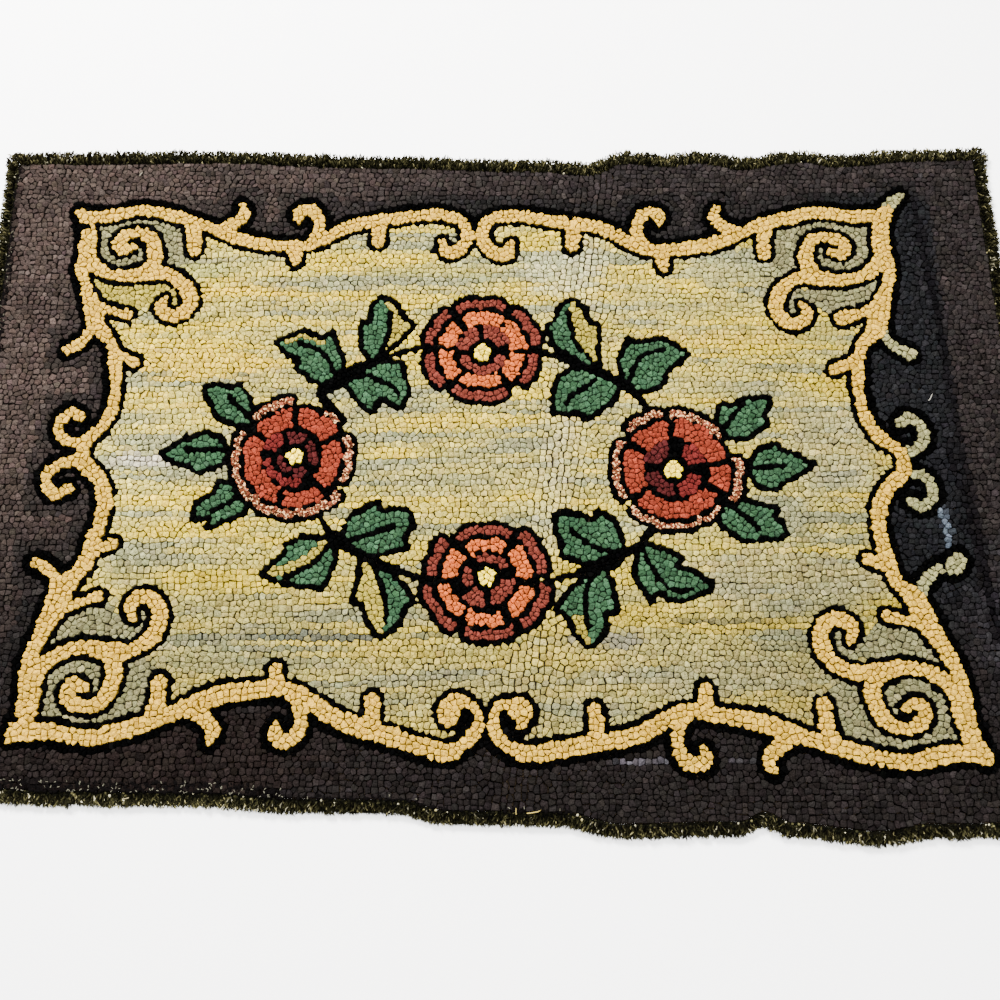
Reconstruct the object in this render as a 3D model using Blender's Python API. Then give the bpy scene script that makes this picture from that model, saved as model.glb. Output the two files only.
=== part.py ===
"""A hooked rug laid out flat: a field of wool loops hooked through a foundation cloth, with four lengths
of brush edging sewn round it. Metres, +Z up, with the origin on the floor under the middle of the rug,
+X along the long sides and +Y towards the far long side."""

import math
from collections import namedtuple

import bmesh
import bpy
import numpy as np
from mathutils import Vector

# The hooked field: the foundation cloth and its loops are one slab, laid out in cells
CELLS_ALONG = 45
CELLS_ACROSS = 28
PILE_HEIGHT = 0.0078
RIM_DROP = 0.0012
RIM_DROP_WIDTH = 0.018

# Waves that make the pile's height uneven, each with its turn in radians for a metre along and across
Wave = namedtuple("Wave", "height along across start")
PILE_WAVES = [
    Wave(0.00050, 41, 57, 1.3),
    Wave(0.00035, 83, -29, 0.7),
    Wave(0.00025, 23, 91, 2.9),
]

# How far out each side of the field lies, at places along it
Rim = namedtuple("Rim", "at out")
FAR_RIM = [
    Rim(-0.500, 0.323),
    Rim(-0.315, 0.325),
    Rim(-0.106, 0.319),
    Rim(0.030, 0.315),
    Rim(0.092, 0.311),
    Rim(0.128, 0.325),
    Rim(0.165, 0.321),
    Rim(0.207, 0.325),
    Rim(0.246, 0.318),
    Rim(0.310, 0.326),
    Rim(0.342, 0.320),
    Rim(0.416, 0.327),
    Rim(0.490, 0.329),
]
NEAR_RIM = [
    Rim(-0.502, 0.293),
    Rim(-0.386, 0.299),
    Rim(-0.264, 0.300),
    Rim(-0.176, 0.305),
    Rim(-0.089, 0.306),
    Rim(-0.048, 0.315),
    Rim(0.050, 0.316),
    Rim(0.102, 0.326),
    Rim(0.204, 0.324),
    Rim(0.226, 0.316),
    Rim(0.250, 0.325),
    Rim(0.322, 0.332),
    Rim(0.370, 0.326),
    Rim(0.500, 0.324),
]
LEFT_RIM = [Rim(-0.293, 0.5010), Rim(-0.065, 0.5000), Rim(0.115, 0.4960), Rim(0.323, 0.4990)]
RIGHT_RIM = [Rim(-0.324, 0.4970), Rim(-0.085, 0.4930), Rim(0.135, 0.4895), Rim(0.329, 0.4870)]

# The soft ridge left by a fold across the rug, which fades out before both long sides
RIDGE_FAR = Vector((0.100, 0.325))
RIDGE_NEAR = Vector((0.008, -0.320))
RIDGE_HEIGHT = 0.0050
RIDGE_HALF_WIDTH = 0.048
RIDGE_FADE = 0.090

# Low puckers where the cloth doesn't lie down on the floor
Pucker = namedtuple("Pucker", "x y reach height")
PUCKERS = [
    Pucker(-0.420, 0.015, 0.060, 0.0016),
    Pucker(-0.250, 0.210, 0.066, 0.0014),
    Pucker(-0.120, -0.230, 0.060, 0.0016),
    Pucker(0.150, -0.245, 0.062, 0.0020),
    Pucker(0.300, -0.245, 0.060, 0.0018),
    Pucker(0.270, 0.240, 0.064, 0.0018),
    Pucker(0.425, -0.065, 0.058, 0.0016),
]

# The brush edging: a woven heading beside the field, and locks of cut yarn that grow outwards from it
SEAM_GAP = 0.0004
HEADING_WIDTH = 0.0042
HEADING_HEIGHT = 0.0062
OUTER_WALL_SLANT = math.radians(45)
LOCKS_PER_CELL = 2
LOCK_TIP_SHARE = 0.60
LOCK_TIP_HEIGHT = 0.0042
LOCK_TIP_HEIGHT_SPREAD = 0.0010
LOCK_LENGTH_SPREAD = 0.0013
LOCK_LEAN_SPREAD = 0.0012
CORNER_FAN = [0.0072, 0.0050, 0.0030, 0.0012]
YARN_SEED = 7

# Each length of edging runs between two corners of the field, on the side that faces out
Edging = namedtuple("Edging", "side start end cells out lock_length round_corners")
EDGING = [
    Edging("far", (0, 1), (1, 1), CELLS_ALONG, Vector((0, 1)), 0.0112, True),
    Edging("near", (0, 0), (1, 0), CELLS_ALONG, Vector((0, -1)), 0.0090, True),
    Edging("left", (0, 0), (0, 1), CELLS_ACROSS, Vector((-1, 0)), 0.0086, False),
    Edging("right", (1, 0), (1, 1), CELLS_ACROSS, Vector((1, 0)), 0.0120, False),
]

SHARP_ANGLE = math.radians(35)
WOOL = ((0.46, 0.41, 0.24), 0.95)
EDGING_YARN = ((0.060, 0.062, 0.040), 0.95)


def clear_scene():
    for left_over in list(bpy.data.objects):
        bpy.data.objects.remove(left_over, do_unlink=True)


def ease(share):
    share = min(1.0, max(0.0, share))
    return share * share * (3.0 - 2.0 * share)


def rim_at(rim, place):
    """How far out a side lies at a place along it, eased from row to row of its table."""
    for here, there in zip(rim, rim[1:]):
        if place <= there.at:
            return here.out + (there.out - here.out) * ease((place - here.at) / (there.at - here.at))
    return rim[-1].out


def field_point(along, across):
    """The point of the field at shares of its length and its width, from the left and the near side."""
    left_y = LEFT_RIM[0].at + across * (LEFT_RIM[-1].at - LEFT_RIM[0].at)
    right_y = RIGHT_RIM[0].at + across * (RIGHT_RIM[-1].at - RIGHT_RIM[0].at)
    left = -rim_at(LEFT_RIM, left_y)
    x = left + along * (rim_at(RIGHT_RIM, right_y) - left)
    near = -rim_at(NEAR_RIM, x)
    return Vector((x, near + across * (rim_at(FAR_RIM, x) - near)))


def distance_to_rim(point):
    return min(
        rim_at(LEFT_RIM, point.y) + point.x,
        rim_at(RIGHT_RIM, point.y) - point.x,
        rim_at(NEAR_RIM, point.x) + point.y,
        rim_at(FAR_RIM, point.x) - point.y,
    )


def lift(point):
    """How far the cloth stands off the floor at a point."""
    run = RIDGE_NEAR - RIDGE_FAR
    share = min(1.0, max(0.0, (point - RIDGE_FAR).dot(run) / run.length_squared))
    beside = (point - RIDGE_FAR - run * share).length / RIDGE_HALF_WIDTH
    from_end = min(share, 1.0 - share) * run.length / RIDGE_FADE
    height = RIDGE_HEIGHT * ease(1.0 - beside) * ease(from_end)
    for pucker in PUCKERS:
        away = (point - Vector((pucker.x, pucker.y))).length / pucker.reach
        height += pucker.height * ease(1.0 - away)
    return height


def pile_height(point):
    """How thick the cloth and its loops are: uneven, and thinner where the loops lean out over the rim."""
    height = PILE_HEIGHT - RIM_DROP * ease(1.0 - distance_to_rim(point) / RIM_DROP_WIDTH)
    for wave in PILE_WAVES:
        height += wave.height * math.sin(wave.along * point.x + wave.across * point.y + wave.start)
    return height


def plain_material(name, colour, roughness):
    material = bpy.data.materials.new(name)
    material.use_nodes = True
    shader = material.node_tree.nodes["Principled BSDF"]
    shader.inputs["Base Color"].default_value = (*colour, 1.0)
    shader.inputs["Roughness"].default_value = roughness
    shader.inputs["Metallic"].default_value = 0.0
    return material


def add_object(name, bm, material, collection):
    bmesh.ops.recalc_face_normals(bm, faces=bm.faces[:])
    mesh = bpy.data.meshes.new(name)
    bm.to_mesh(mesh)
    bm.free()
    mesh.materials.append(material)
    mesh.shade_smooth()
    mesh.set_sharp_from_angle(angle=SHARP_ANGLE)
    made = bpy.data.objects.new(name, mesh)
    collection.objects.link(made)
    return made


def raise_into_solid(bm, thickness):
    """Closes a sheet of faces into a solid, whose top lies above the sheet by each vertex's thickness."""
    grown = bmesh.ops.extrude_face_region(bm, geom=bm.faces[:], use_keep_orig=True)
    for vertex in grown["geom"]:
        if isinstance(vertex, bmesh.types.BMVert):
            vertex.co.z += vertex[thickness]


def hooked_field(material, collection):
    """The slab of cloth and loops, with its uneven outline, its ridge and its puckers."""
    bm = bmesh.new()
    thickness = bm.verts.layers.float.new("thickness")
    bmesh.ops.create_grid(bm, x_segments=CELLS_ALONG, y_segments=CELLS_ACROSS, size=0.5)
    for vertex in bm.verts:
        point = field_point(vertex.co.x + 0.5, vertex.co.y + 0.5)
        vertex.co = (point.x, point.y, lift(point))
        vertex[thickness] = pile_height(point)
    raise_into_solid(bm, thickness)
    return add_object("hooked_field", bm, material, collection)


def seam_line(edging):
    """Points along one side of the field, and past its corners if this length of edging rounds them."""
    start, end = Vector(edging.start), Vector(edging.end)
    corners = [field_point(*start.lerp(end, cell / edging.cells)) for cell in range(edging.cells + 1)]
    line = [corners[0]]
    for here, there in zip(corners, corners[1:]):
        line += [here.lerp(there, (step + 1) / LOCKS_PER_CELL) for step in range(LOCKS_PER_CELL)]
    if edging.round_corners:
        past_corner = (end - start) * (SEAM_GAP + HEADING_WIDTH)
        line = [line[0] - past_corner, *line, line[-1] + past_corner]
    return line


def brush_edging(edging, material, collection, chance):
    """One length of edging: a heading that follows the seam, with a lock grown from each stretch of it."""
    line = seam_line(edging)
    stretches = len(line) - 1
    run = (Vector(edging.end) - Vector(edging.start)).to_3d()
    out = edging.out.to_3d()

    bm = bmesh.new()
    thickness = bm.verts.layers.float.new("thickness")
    bmesh.ops.create_grid(bm, x_segments=stretches, y_segments=1, size=0.5)
    for vertex in bm.verts:
        from_seam = SEAM_GAP + HEADING_WIDTH * (vertex.co.y + 0.5)
        vertex.co = line[round((vertex.co.x + 0.5) * stretches)].to_3d() + out * from_seam
        vertex[thickness] = HEADING_HEIGHT
    raise_into_solid(bm, thickness)
    bmesh.ops.recalc_face_normals(bm, faces=bm.faces[:])

    outer_wall = [face for face in bm.faces if face.normal.dot(out) > math.cos(OUTER_WALL_SLANT)]
    tips = bmesh.ops.extrude_discrete_faces(bm, faces=outer_wall)["faces"]
    tips.sort(key=lambda tip: tip.calc_center_median().dot(run))
    straight = [0.0] * (stretches - 2 * len(CORNER_FAN))
    fan = [*CORNER_FAN, *straight, *[-lean for lean in reversed(CORNER_FAN)]]
    for tip, corner_lean in zip(tips, fan):
        length = edging.lock_length + chance.uniform(-LOCK_LENGTH_SPREAD, LOCK_LENGTH_SPREAD)
        lean = chance.uniform(-LOCK_LEAN_SPREAD, LOCK_LEAN_SPREAD) - corner_lean
        height = LOCK_TIP_HEIGHT + chance.uniform(-LOCK_TIP_HEIGHT_SPREAD, LOCK_TIP_HEIGHT_SPREAD)
        root = tip.calc_center_median()
        for vertex in tip.verts:
            is_top = vertex.co.z > root.z
            vertex.co = root + (vertex.co - root) * LOCK_TIP_SHARE + out * length + run * lean
            vertex.co.z = height if is_top else 0.0
    return add_object("edging_" + edging.side, bm, material, collection)


def centre_over_origin(pieces):
    points = [vertex.co for piece in pieces for vertex in piece.data.vertices]
    middle_x = (min(point.x for point in points) + max(point.x for point in points)) / 2
    middle_y = (min(point.y for point in points) + max(point.y for point in points)) / 2
    for point in points:
        point.x -= middle_x
        point.y -= middle_y


def main():
    clear_scene()
    collection = bpy.data.collections.new("hooked_rug")
    bpy.context.scene.collection.children.link(collection)
    chance = np.random.default_rng(YARN_SEED)
    pieces = [hooked_field(plain_material("wool_loops", *WOOL), collection)]
    yarn = plain_material("edging_yarn", *EDGING_YARN)
    for edging in EDGING:
        pieces.append(brush_edging(edging, yarn, collection, chance))
    centre_over_origin(pieces)


main()
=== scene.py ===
import bpy
import math
import numpy as np
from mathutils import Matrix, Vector
from mathutils.bvhtree import BVHTree


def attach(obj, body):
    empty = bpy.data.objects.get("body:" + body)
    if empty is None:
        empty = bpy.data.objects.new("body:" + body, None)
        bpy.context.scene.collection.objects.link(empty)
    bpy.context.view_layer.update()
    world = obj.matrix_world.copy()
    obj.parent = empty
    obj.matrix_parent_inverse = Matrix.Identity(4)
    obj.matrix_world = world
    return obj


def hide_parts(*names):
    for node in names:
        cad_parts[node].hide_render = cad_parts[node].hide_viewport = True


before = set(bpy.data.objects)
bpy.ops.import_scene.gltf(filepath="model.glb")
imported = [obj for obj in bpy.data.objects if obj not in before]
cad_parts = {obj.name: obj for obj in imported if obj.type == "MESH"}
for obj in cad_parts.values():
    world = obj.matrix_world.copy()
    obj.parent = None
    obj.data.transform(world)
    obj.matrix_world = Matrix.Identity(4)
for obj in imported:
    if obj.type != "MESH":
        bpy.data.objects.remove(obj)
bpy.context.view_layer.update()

# The drawing on the cloth. The maker draws the design on the foundation before hooking: a scroll frame that is
# the same in every corner but bent by hand, a wreath of four roses with leaf sprays, and a plain border. It is
# laid out here on a fine grid in millimetres, where each square says which yarn is hooked there.
GRID = 0.75
REACH_X = 516.0
REACH_Y = 350.0
rug_xs = np.arange(-REACH_X, REACH_X, GRID) + GRID / 2
rug_ys = np.arange(-REACH_Y, REACH_Y, GRID) + GRID / 2
RUG_X, RUG_Y = np.meshgrid(rug_xs.astype(np.float32), rug_ys.astype(np.float32))
# The chart below has its lines where they would lie at floor level. The loops end 8 mm higher and nearer to
# the eye, so the rug carries the chart drawn in a little towards the place under the eye.
UNDER_EYE = (-2.0, -290.0)
DRAWN_IN = 0.9912


def to_chart(x, y):
    return (UNDER_EYE[0] + (x - UNDER_EYE[0]) / DRAWN_IN, UNDER_EYE[1] + (y - UNDER_EYE[1]) / DRAWN_IN)


xs, ys = to_chart(rug_xs, rug_ys)
X, Y = np.meshgrid(xs.astype(np.float32), ys.astype(np.float32))

YARNS = ["none", "ground", "border", "black", "scroll", "sage", "fill", "leaf", "straw",
         "brick", "salmon", "coral", "crimson", "maroon", "tweed", "heart"]
YARN = {name: number for number, name in enumerate(YARNS)}
drawing = np.zeros(X.shape, np.uint8)

# Each side's distance out from the middle, in metres, at places along it.
FAR_RIM = ((-0.500, 0.323), (-0.315, 0.325), (-0.106, 0.319), (0.030, 0.315), (0.092, 0.311), (0.128, 0.325),
           (0.165, 0.321), (0.207, 0.325), (0.246, 0.318), (0.310, 0.326), (0.342, 0.320), (0.416, 0.327),
           (0.490, 0.329))
NEAR_RIM = ((-0.502, 0.293), (-0.386, 0.299), (-0.264, 0.300), (-0.176, 0.305), (-0.089, 0.306),
            (-0.048, 0.315), (0.050, 0.316), (0.102, 0.326), (0.204, 0.324), (0.226, 0.316), (0.250, 0.325),
            (0.322, 0.332), (0.370, 0.326), (0.500, 0.324))
LEFT_RIM = ((-0.293, 0.5010), (-0.065, 0.5000), (0.115, 0.4960), (0.323, 0.4990))
RIGHT_RIM = ((-0.324, 0.4970), (-0.085, 0.4930), (0.135, 0.4895), (0.329, 0.4870))


def ease(low, high, value):
    """A soft step from 0 at one place to 1 at another."""
    share = np.clip((value - low) / (high - low), 0, 1)
    return share * share * (3 - 2 * share)


def rim_at(table, along):
    """How far out a side lies, in millimetres, eased between the places in its table."""
    places, out = np.array(table).T * 1000
    step = np.clip(np.searchsorted(places, along) - 1, 0, len(places) - 2)
    share = ease(places[step], places[step + 1], along)
    return out[step] * (1 - share) + out[step + 1] * share


far_edge = rim_at(FAR_RIM, rug_xs)[None, :]
near_edge = -rim_at(NEAR_RIM, rug_xs)[None, :]
left_edge = -rim_at(LEFT_RIM, rug_ys)[:, None]
right_edge = rim_at(RIGHT_RIM, rug_ys)[:, None]
RIM_INSET = 0.6
on_cloth = ((RUG_Y < far_edge - RIM_INSET) & (RUG_Y > near_edge + RIM_INSET)
            & (RUG_X > left_edge + RIM_INSET) & (RUG_X < right_edge - RIM_INSET))


def window(points, margin):
    """The part of the grid round some points."""
    low = np.min(points, axis=0) - margin
    high = np.max(points, axis=0) + margin
    c0, c1 = np.searchsorted(xs, low[0]), np.searchsorted(xs, high[0])
    r0, r1 = np.searchsorted(ys, low[1]), np.searchsorted(ys, high[1])
    return slice(r0, r1), slice(c0, c1)


def smooth_line(knots, step=3.0, closed=False):
    """Points along a soft line through the knots, with whatever else each knot carries."""
    knots = np.array(knots, float)
    if closed:
        ring = np.concatenate([knots[-1:], knots, knots[:2]])
    else:
        ring = np.concatenate([2 * knots[:1] - knots[1:2], knots, 2 * knots[-1:] - knots[-2:-1]])
    line = []
    for a, b, c, d in zip(ring, ring[1:], ring[2:], ring[3:]):
        count = max(2, int(np.hypot(*(c - b)[:2]) / step) + 1)
        t = np.linspace(0, 1, count, endpoint=False)[:, None]
        line.append(0.5 * (2 * b + (c - a) * t + (2 * a - 5 * b + 4 * c - d) * t * t
                           + (3 * b - a - 3 * c + d) * t * t * t))
    if not closed:
        line.append(knots[-1:])
    return np.concatenate(line)


def stroke(field, knots, margin=14.0):
    """Draws a line of varying half width into a field of distances from what is drawn."""
    line = smooth_line(knots)
    for (ax, ay, aw), (bx, by, bw) in zip(line, line[1:]):
        part = window([(ax, ay), (bx, by)], max(aw, bw) + margin)
        px, py = X[part] - ax, Y[part] - ay
        length = max(1e-6, (bx - ax) ** 2 + (by - ay) ** 2)
        t = np.clip((px * (bx - ax) + py * (by - ay)) / length, 0, 1)
        away = np.hypot(px - t * (bx - ax), py - t * (by - ay)) - (aw + t * (bw - aw))
        field[part] = np.minimum(field[part], away)


def inside(points):
    """The squares within a closed line."""
    mask = np.zeros(X.shape, bool)
    part = window(points, 1.0)
    columns = xs[part[1]]
    following = np.roll(points, -1, axis=0)
    for row in range(part[0].start, part[0].stop):
        y = ys[row]
        crosses = (points[:, 1] > y) != (following[:, 1] > y)
        a, b = points[crosses], following[crosses]
        cuts = np.sort(a[:, 0] + (y - a[:, 1]) * (b[:, 0] - a[:, 0]) / (b[:, 1] - a[:, 1]))
        mask[row, part[1]] = np.searchsorted(cuts, columns) % 2 == 1
    return mask


def far_field():
    """Distances from what is drawn, while nothing is."""
    return np.full(X.shape, 99.0, np.float32)


# The scroll frame, drawn for the far left corner: rows of x, y and half width in millimetres.
FAR_ARM = ((-431, 269, 5.6), (-405, 267, 7.5), (-369, 274, 6.8), (-334, 267, 7.4), (-304, 257, 6.4),
           (-263, 240, 8.1), (-222, 232, 7.0), (-190, 236, 6.8), (-156, 255, 7.5), (-107, 265, 7.2),
           (-66, 269, 7.0), (-42, 261, 6.6), (-35, 244, 7.1), (-43, 229, 7.1), (-56, 227, 7.6),
           (-61, 239, 4.1))
SIDE_ARM = ((-431, 269, 5.6), (-422, 251, 8.5), (-421, 222, 9.5), (-424, 207, 6.5), (-417, 186, 6.8),
            (-407, 162, 10.0), (-401, 144, 8.7), (-386, 126, 6.2), (-380, 104, 7.0), (-377, 77, 6.1),
            (-378, 56, 6.8), (-386, 38, 6.7), (-399, 24, 6.6), (-401, 13, 6.2))
BRANCHES = {
    "prong": ((-317, 260, 8.2), (-313, 244, 8.1), (-312, 228, 7.6)),
    "spike": ((-286, 253, 7.1), (-272, 260, 7.2), (-264, 270, 6.7), (-267, 280, 4.6)),
    "nub": ((-209, 232, 8.1), (-209, 217, 6.9)),
    "hook": ((-194, 236, 7.1), (-187, 248, 6.6), (-187, 263, 6.7), (-196, 275, 7.0), (-208, 271, 7.2),
             (-207, 261, 3.6)),
    "neck_nub": ((-126, 258, 8.2), (-126, 237, 7.1)),
    "side_spike": ((-405, 148, 7.9), (-410, 135, 5.9), (-416, 127, 6.4), (-427, 119, 6.4)),
    "side_nub": ((-405, 167, 5.5), (-388, 161, 5.0), (-373, 157, 6.5)),
    "low_nub": ((-381, 115, 6.9), (-373, 111, 5.9), (-361, 106, 6.4)),
    "side_hook": ((-400, 21, 6.7), (-415, 23, 5.8), (-425, 31, 6.0), (-426, 42, 5.3), (-418, 53, 6.1),
                  (-408, 49, 6.3)),
    "low_curl": ((-421, 220, 9.1), (-410, 210, 8.1), (-399, 203, 7.0), (-379, 199, 7.3), (-358, 203, 9.6),
                 (-336, 201, 7.0), (-319, 189, 8.2), (-312, 171, 8.5), (-320, 157, 7.5), (-332, 156, 7.5),
                 (-341, 165, 6.5), (-337, 175, 4.0)),
    "high_curl": ((-356, 203, 9.1), (-351, 218, 8.6), (-353, 231, 8.1), (-359, 243, 7.6), (-371, 248, 6.6),
                  (-385, 244, 7.2), (-390, 235, 7.2), (-384, 229, 7.0), (-375, 232, 5.2)),
}
# At the near side both arms rise into the neck and end in broad curls of their own shape.
NEAR_CURLS = {
    3: ((-35, -259, 6.5), (-25, -250, 7.0), (-21, -242, 5.6), (-22, -232, 5.1), (-27, -226, 5.1),
        (-34, -222, 6.5), (-42, -223, 9.3), (-47, -229, 10.7), (-48, -235, 9.3), (-44, -239, 5.6)),
    4: ((5, -261, 6.5), (-4, -252, 7.0), (-8, -243, 6.0), (-7, -235, 4.7), (-4, -227, 4.7), (2, -224, 5.1),
        (10, -226, 7.0), (16, -230, 11.2), (18, -236, 8.4), (16, -243, 4.7)),
}
# Small shapes: a nub on each corner and a pale one at the far right, black wedges beside the near curls, a
# black notch in the two left corners, and a pale knob on the near right spike.
CORNER_NUB = ((-421, 264, 6.5), (-428, 269, 6.8), (-432, 271, 6.2))
FAR_RIGHT_NUB = ((-421, 264, 6.5), (-430, 272, 6.6), (-439, 280, 6.4), (-444, 284, 5.2))
WEDGES = (((-33, -233, 3.6), (-35, -243, 4.0), (-38, -251, 3.4)),
          ((1, -233, 3.6), (5, -243, 4.2), (10, -250, 4.2), (18, -250, 3.0)))
NOTCHES = {1: ((-437, 256, 3.8), (-430, 256, 3.4), (-424, 256, 2.6)),
           3: ((-437, 256, 3.04), (-430, 256, 2.72))}
SPIKE_KNOB = ((417, -101, 7.0), (421, -96, 9.5), (423, -93, 8.0))
# Where grey-green is hooked under the curls, in the same corner.
SHADE_PATCHES = (
    ((-416, 262), (-370, 268), (-330, 258), (-312, 240), (-306, 226), (-322, 212), (-350, 200), (-400, 200),
     (-420, 215)),
    ((-424, 212), (-400, 198), (-355, 190), (-322, 190), (-318, 172), (-338, 158), (-352, 172), (-362, 162),
     (-396, 152), (-416, 178)),
)
# Where each landmark of that corner lies in the four corners, as x and y: far left, far right, near left and
# near right.
LANDMARKS = (
    ("corner", (-433, 270), (398, 274), (-436, -252), (429, -271)),
    ("high curl", (-381, 237), (339, 232), (-381, -215), (367, -233)),
    ("low curl", (-325, 170), (288, 162), (-326, -143), (303, -164)),
    ("prong", (-312, 223), (266, 219), (-308, -199), (287, -220)),
    ("spike", (-267, 282), (220, 278), (-259, -259), (238, -284)),
    ("nub", (-208, 211), (162, 202), (-203, -187), (181, -203)),
    ("hook", (-197, 269), (150, 266), (-190, -250), (167, -270)),
    ("neck nub", (-126, 230), (72, 223), (-117, -213), (82, -222)),
    ("neck curl", (-54, 242), (2, 240), (-43, -239), (11, -236)),
    ("neck", (-28, 240), (-28, 240), (-14, -246), (-14, -246)),
    ("far arm", (-80, 269), (24, 267), (-66, -263), (38, -266)),
    ("dip", (-222, 232), (176, 229), (-217, -211), (195, -234)),
    ("side arm", (-377, 77), (348, 68), (-376, -49), (353, -62)),
    ("side nub", (-368, 157), (333, 153), (-367, -127), (347, -146)),
    ("side spike", (-430, 117), (405, 112), (-436, -94), (406, -100)),
    ("low nub", (-356, 106), (320, 97), (-359, -77), (335, -92)),
    ("side hook", (-417, 39), (395, 33), (-422, -15), (398, -28)),
    ("side neck", (-402, 13), (385, 3), (-402, 13), (385, 3)),
)
home = np.array([row[1] for row in LANDMARKS], float)


def bend_to(corner):
    """How the far left corner's drawing is moved to another corner, softly through the landmarks."""
    places = np.array([row[corner] for row in LANDMARKS], float)
    count = len(home)

    def pull(a, b):
        gap = np.sum((a[:, None, :] - b[None, :, :]) ** 2, axis=2)
        return gap * np.log(gap + 1e-9) * 0.5

    system = np.zeros((count + 3, count + 3))
    system[:count, :count] = pull(home, home)
    system[:count, count] = system[count, :count] = 1
    system[:count, count + 1:] = home
    system[count + 1:, :count] = home.T
    weights = np.linalg.solve(system, np.concatenate([places, np.zeros((3, 2))]))

    def move(knots):
        knots = np.array(knots, float)
        bent = pull(knots[:, :2], home) @ weights[:count]
        moved = bent + weights[count] + knots[:, :2] @ weights[count + 1:]
        return np.concatenate([moved, knots[:, 2:]], axis=1)
    return move


scroll = far_field()
pale_scroll = far_field()
shade = np.zeros(X.shape, bool)
# At the right some branches are hooked in a paler wool, and the arms are broader towards the viewer.
RIGHT_CORNERS = (2, 4)
PALE_BRANCHES = ("side_spike", "side_hook")
WIDE_NUB = (2, "side_nub")
WIDE_NUB_WIDTH = 1.3
WARM_PATCH = (1, 1)
ARM_WIDTH = {1: 1.0, 2: 1.06, 3: 1.18, 4: 1.14}
frame_path = {}
notches = far_field()
stroke(pale_scroll, SPIKE_KNOB)
for corner in (1, 2, 3, 4):
    move = bend_to(corner)
    far_arm = move(FAR_ARM) * (1, 1, ARM_WIDTH[corner])
    if corner in NEAR_CURLS:
        far_arm = np.concatenate([far_arm[:11], NEAR_CURLS[corner]])
    stroke(scroll, far_arm)
    if corner == 2:
        stroke(pale_scroll, move(FAR_RIGHT_NUB))
    stroke(scroll, move(SIDE_ARM) * (1, 1, ARM_WIDTH[corner]))
    for name, knots in BRANCHES.items():
        wide = WIDE_NUB_WIDTH if (corner, name) == WIDE_NUB else 1.0
        pale_branch = corner in RIGHT_CORNERS and name in PALE_BRANCHES
        stroke(pale_scroll if pale_branch else scroll, move(knots) * (1, 1, wide))
    stroke(scroll, move(CORNER_NUB))
    if corner in NOTCHES:
        stroke(notches, move(NOTCHES[corner]))
    for number, patch in enumerate(SHADE_PATCHES):
        under_curl = inside(smooth_line(move(patch), 4, closed=True))
        if (corner, number) == WARM_PATCH:
            warm_shade = under_curl
        else:
            shade |= under_curl
    frame_path[corner] = [smooth_line(move(FAR_ARM[:13]))[:, :2], smooth_line(move(SIDE_ARM))[:, :2]]

ring = [frame_path[1][1][::-1], frame_path[1][0], frame_path[2][0][::-1], frame_path[2][1],
        frame_path[4][1][::-1], frame_path[4][0], frame_path[3][0][::-1], frame_path[3][1]]
within_frame = inside(np.concatenate(ring))

INNER_LINE = 3.5
OUTER_LINE = 5.6
every_scroll = np.minimum(scroll, pale_scroll)
drawing[on_cloth] = YARN["border"]
drawing[on_cloth & within_frame] = YARN["ground"]
drawing[shade & within_frame] = YARN["fill"]
drawing[warm_shade & within_frame] = YARN["straw"]
drawing[within_frame & (every_scroll < INNER_LINE)] = YARN["black"]
drawing[~within_frame & (every_scroll < OUTER_LINE) & on_cloth] = YARN["black"]
wedges = far_field()
for wedge in WEDGES:
    stroke(wedges, wedge)
drawing[wedges < 0] = YARN["black"]
drawing[pale_scroll < 0] = YARN["sage"]
drawing[scroll < 0] = YARN["scroll"]
drawing[notches < 0] = YARN["black"]

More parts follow.
